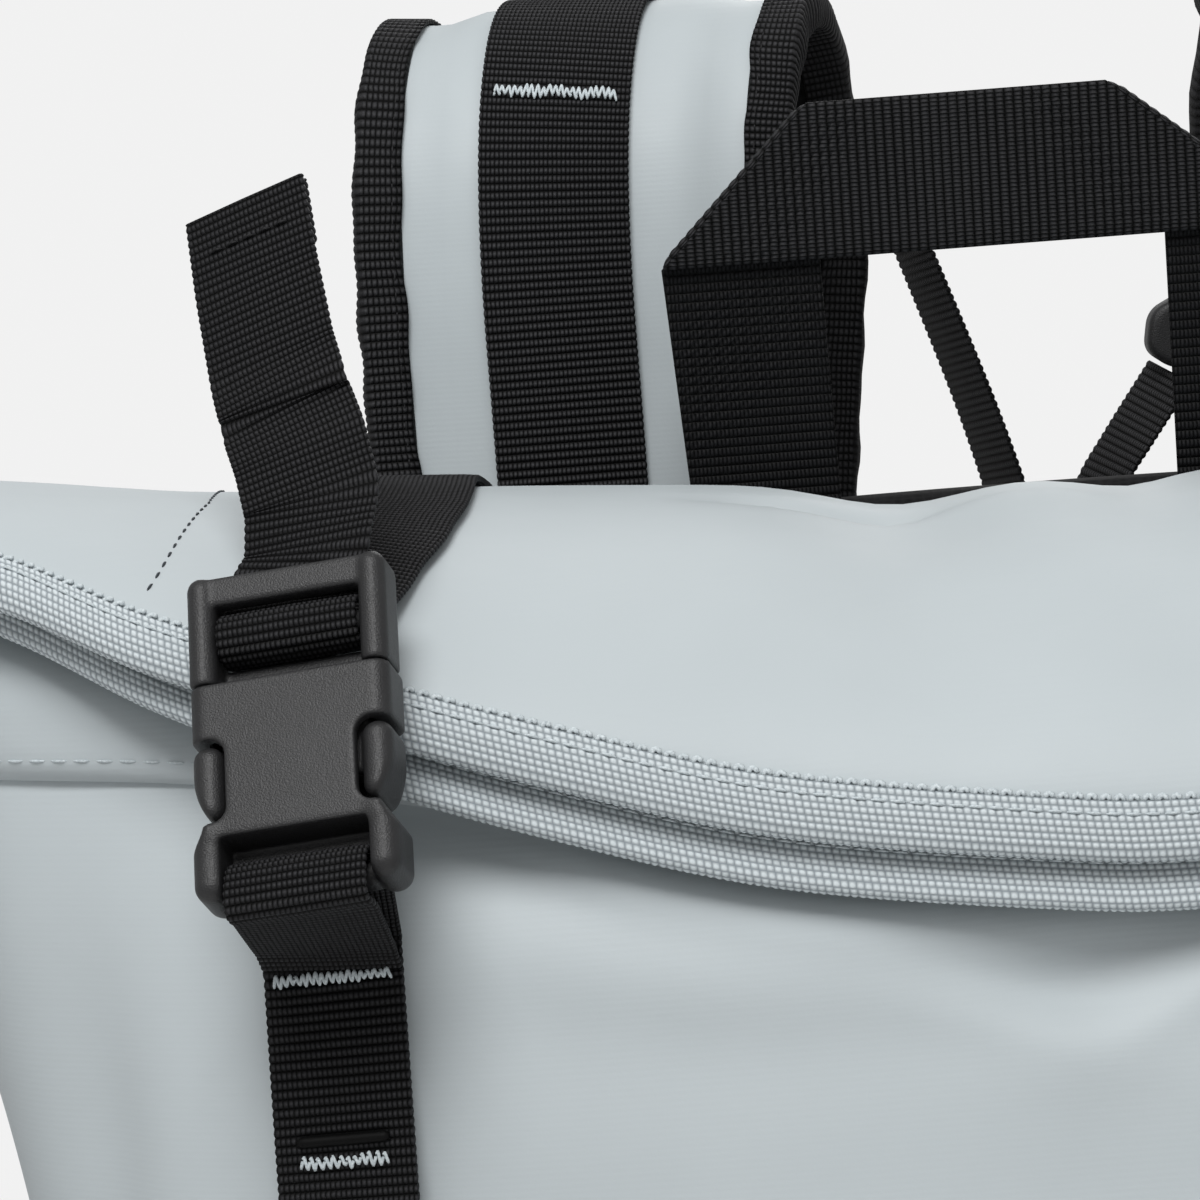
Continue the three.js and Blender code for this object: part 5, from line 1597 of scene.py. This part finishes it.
def tape_finish():
    """Light woven tape: its colour is lighter on the beads and darker in the hollows between them, which is
    painted shade.
    """
    made = Finish("grosgrain", 0.68, 0.3)
    u, v = made.weave()
    row = made.math("DIVIDE", u, BEAD["across"])
    shift = made.math("MULTIPLY", made.math("FLOOR", row), BEAD["shift"])
    spot = made.math("ADD", made.math("DIVIDE", v, BEAD["along"]), shift)
    grain = made.math("MULTIPLY", made.humps(spot), made.humps(row))
    # Painted shade: the hollows between the beads take the darker colour.
    made.color(made.ramp(grain, [(0.0, linear(138, 146, 151)), (0.75, linear(211, 219, 222))]))
    made.bump([(grain, 0.4, 0.0002), (made.noise(2400, 3), 0.25, 0.0001)])
    return made.material


def thread_finish(name, low, high):
    made = Finish(name, 0.6, 0.3)
    twist = made.noise(3000, 2)
    made.color(made.ramp(twist, [(0.3, low), (0.7, high)]))
    made.bump([(twist, 0.3, 0.0001)])
    return made.material


def plastic_finish():
    """Moulded black plastic with a pebbled face."""
    made = Finish("moulded_plastic", 0.45, 0.5)
    pebble = made.noise(4000, 2, 0.5)
    cloud = made.noise(90, 3)
    made.color(made.ramp(cloud, [(0.3, linear(38, 38, 39)), (0.7, linear(43, 43, 44))]))
    made.rough(pebble, 0.4, 0.54)
    made.bump([(pebble, 0.7, 0.00014)])
    return made.material


def mesh_finish():
    """Black panel cloth with a fine knitted mesh."""
    made = Finish("panel_cloth", 0.85, 0.25)
    cell = made.node("ShaderNodeTexVoronoi", feature="F1")
    cell.inputs["Scale"].default_value = 620
    cell.inputs["Randomness"].default_value = 0.25
    made.link(made.place(), cell.inputs["Vector"])
    distance = cell.outputs["Distance"]
    made.color(made.ramp(distance, [(0.15, linear(12, 12, 13)), (0.6, linear(30, 30, 31))]))
    made.bump([(distance, 0.7, 0.0005), (made.noise(900, 3), 0.2, 0.0002)])
    return made.material


TARP = tarp_finish("coated_cloth", linear(185, 193, 196), linear(190, 198, 201))
STRAP_TARP = tarp_finish("strap_cloth", linear(186, 194, 197), linear(192, 200, 203))
GROSGRAIN = tape_finish()
# Each webbing gets two colours: the first for its grooves, with painted shade, the second for its rib
# crests, a painted highlight.
FRONT_WEB = web_finish("webbing_narrow", RIB, 0.74, linear(3, 3, 3), linear(52, 52, 54))
BROAD_WEB = web_finish("webbing_broad", STRAP_RIB, 0.74, linear(4, 4, 4), linear(62, 62, 64))
HANDLE_WEB = web_finish("webbing_handle", HANDLE_RIB, 0.66, linear(3, 3, 3), linear(56, 56, 58))
# A darker copy of the handle's webbing for its legs: painted shade under the band.
SHADED_LEG_WEB = web_finish("webbing_leg_shaded", HANDLE_RIB, 0.66, linear(2, 2, 2), linear(34, 34, 36))
BINDING = web_finish("binding_tape", STRAP_RIB, 0.9, linear(4, 4, 4), linear(60, 60, 62))
PALE_THREAD = thread_finish("pale_thread", linear(176, 186, 190), linear(214, 222, 225))
DARK_THREAD = thread_finish("dark_thread", linear(34, 38, 42), linear(66, 72, 78))
BLACK_THREAD = thread_finish("black_thread", linear(12, 12, 13), linear(36, 36, 38))
PLASTIC = plastic_finish()
PANEL_CLOTH = mesh_finish()


def turned(made, side):
    """A piece of the left side as it is, or its mirror for the right side."""
    return made.mirrored() if side > 0 else made


body = body_shell().build("body_cloth", [TARP], "body_shell", "tarp")

collar = roll_collar().build("collar_cloth", [TARP, PALE_THREAD, DARK_THREAD], "roll_collar", "tarp")

for rear, name in ((True, "outer"), (False, "inner")):
    lip_tape(rear).build(f"{name}_tape", [GROSGRAIN, PALE_THREAD], f"lip_tape_{name}", "grosgrain")

panel = back_panel().build("panel_cover", [PANEL_CLOTH, BLACK_THREAD], "back_panel", "black_cloth")
haul_handle().build("handle_webbing", [HANDLE_WEB, SHADED_LEG_WEB], "haul_handle", "webbing")

closure = closure_strap()
front = front_strap()
web = [FRONT_WEB, PALE_THREAD, BLACK_THREAD]
bound = [BINDING, BLACK_THREAD]
for name, side in (("left", -1), ("right", 1)):
    turned(closure, side).build(f"closure_webbing_{name}", web, f"closure_strap_{name}", "webbing")
    turned(front, side).build(f"front_webbing_{name}", web, f"front_strap_{name}", "webbing")
    voxel = FINE_VOXEL if side < 0 else PLAIN_VOXEL
    for half, field in (("socket", socket_field), ("tongue", tongue_field)):
        buckle = turned(buckle_piece(field, voxel), side)
        buckle.build(f"{half}_{name}", [PLASTIC], f"buckle_{half}_{name}", "plastic")
    pad = strap_pad(side)
    pad = pad.build(f"pad_{name}", [STRAP_TARP, PANEL_CLOTH], f"shoulder_strap_{name}", "strap_tarp")
    for edge, end in (("inner", -side), ("outer", side)):
        binding = strap_binding(side, end)
        binding.build(f"binding_{edge}_{name}", bound, f"strap_binding_{edge}_{name}", "black_cloth")
    upper, lower = strap_webbing(side), adjuster(side)
    upper.build(f"pad_webbing_{name}", [BROAD_WEB, PALE_THREAD], f"strap_webbing_{name}", "webbing")
    ladder_lock(side).build(f"lock_{name}", [PLASTIC], f"ladder_lock_{name}", "plastic")
    lower.build(f"adjuster_{name}", [BROAD_WEB, BLACK_THREAD], f"adjuster_webbing_{name}", "webbing")

sternum_webbing().build("sternum_web", [BROAD_WEB], "sternum_webbing", "webbing")
sternum_clip().build("sternum_clip", [PLASTIC], "sternum_buckle", "plastic")


# Floor, light and camera
FLOOR = {"size": 2.0, "full": 0.32, "gone": 0.95}
BACKDROP = {"radius": 6, "level": 0.882}
WORLD_LEVEL = 0.43
KEY = {"place": (-0.25, -0.93, 1.57), "size": 0.8, "power": 17.4}
REAR_FILL = {"place": (0.7, 2.6, 1.7), "size": 1.6, "power": 18}
TARGET = (-0.05, -0.05, 0.38)
CAMERA = {"place": (-0.066, -0.852, 0.459), "pitch": 5.0, "roll": 4.4, "lens": 169.65, "sensor": 36}
CLIP_START, CLIP_END = 0.02, 200


def stage_object(name, mesh, material):
    mesh.materials.append(material)
    made = bpy.data.objects.new(name, mesh)
    bpy.context.scene.collection.objects.link(made)
    return made


def floor():
    """A pale floor that fades into the backdrop away from the bag."""
    size = FLOOR["size"]
    mesh = bpy.data.meshes.new("floor")
    corners = [(-size, -size, 0), (size, -size, 0), (size, size, 0), (-size, size, 0)]
    mesh.from_pydata(corners, [], [(0, 1, 2, 3)])
    finish = Finish("floor_paper", 0.9, 0.1)
    pale = [(0.3, linear(228, 228, 228)), (0.7, linear(232, 232, 232))]
    finish.color(finish.ramp(finish.noise(30, 3), pale))
    away = finish.node("ShaderNodeVectorMath", operation="LENGTH")
    finish.link(finish.place(), away.inputs[0])
    fade = finish.node("ShaderNodeMapRange", interpolation_type="SMOOTHSTEP")
    fade.inputs["From Min"].default_value = FLOOR["full"]
    fade.inputs["From Max"].default_value = FLOOR["gone"]
    fade.inputs["To Min"].default_value = 1
    fade.inputs["To Max"].default_value = 0
    finish.link(away.outputs["Value"], fade.inputs["Value"])
    finish.link(fade.outputs["Result"], finish.shader.inputs["Alpha"])
    stage_object("floor", mesh, finish.material)


def backdrop():
    """A wide pale dome behind everything, which gives no light of its own to the bag."""
    material = bpy.data.materials.new("backdrop_paper")
    material.use_nodes = True
    tree = material.node_tree
    glow = tree.nodes.new("ShaderNodeEmission")
    glow.inputs["Strength"].default_value = BACKDROP["level"]
    tree.links.new(glow.outputs["Emission"], tree.nodes["Material Output"].inputs["Surface"])
    mesh = bpy.data.meshes.new("backdrop")
    shape = bmesh.new()
    bmesh.ops.create_icosphere(shape, subdivisions=3, radius=BACKDROP["radius"])
    shape.to_mesh(mesh)
    shape.free()
    made = stage_object("backdrop", mesh, material)
    made.visible_diffuse = False
    made.visible_glossy = False
    made.visible_transmission = False
    made.visible_shadow = False


def matrix(right, up, back, place):
    rows = np.eye(4)
    rows[:3, 0], rows[:3, 1], rows[:3, 2], rows[:3, 3] = right, up, back, place
    return Matrix(rows.tolist())


def softbox(name, place, target, size, power):
    light = bpy.data.lights.new(name, "AREA")
    light.shape = "DISK"
    light.size = size
    light.energy = power
    made = bpy.data.objects.new(name, light)
    bpy.context.scene.collection.objects.link(made)
    back = unit(np.array(place, float) - np.array(target, float))
    right = unit(np.cross([0, 0, 1.0], back))
    up = np.cross(back, right)
    made.matrix_world = matrix(right, up, back, place)
    made.visible_camera = False


def studio():
    world = bpy.data.worlds.new("studio")
    world.use_nodes = True
    back = world.node_tree.nodes["Background"]
    back.inputs["Color"].default_value = (1, 1, 1, 1)
    back.inputs["Strength"].default_value = WORLD_LEVEL
    bpy.context.scene.world = world
    bpy.context.scene.view_settings.view_transform = "Standard"
    softbox("key", KEY["place"], TARGET, KEY["size"], KEY["power"])
    softbox("rear_fill", REAR_FILL["place"], TARGET, REAR_FILL["size"], REAR_FILL["power"])


def camera():
    data = bpy.data.cameras.new("camera")
    data.lens = CAMERA["lens"]
    data.sensor_width = CAMERA["sensor"]
    data.clip_start = CLIP_START
    data.clip_end = CLIP_END
    made = bpy.data.objects.new("camera", data)
    bpy.context.scene.collection.objects.link(made)
    pitch, roll = math.radians(CAMERA["pitch"]), math.radians(CAMERA["roll"])
    ahead = np.array([0, math.cos(pitch), -math.sin(pitch)])
    level_up = np.array([0, math.sin(pitch), math.cos(pitch)])
    level_right = np.array([1.0, 0, 0])
    right = math.cos(roll) * level_right - math.sin(roll) * level_up
    up = math.sin(roll) * level_right + math.cos(roll) * level_up
    made.matrix_world = matrix(right, up, -ahead, CAMERA["place"])
    bpy.context.scene.camera = made


floor()
backdrop()
studio()
camera()
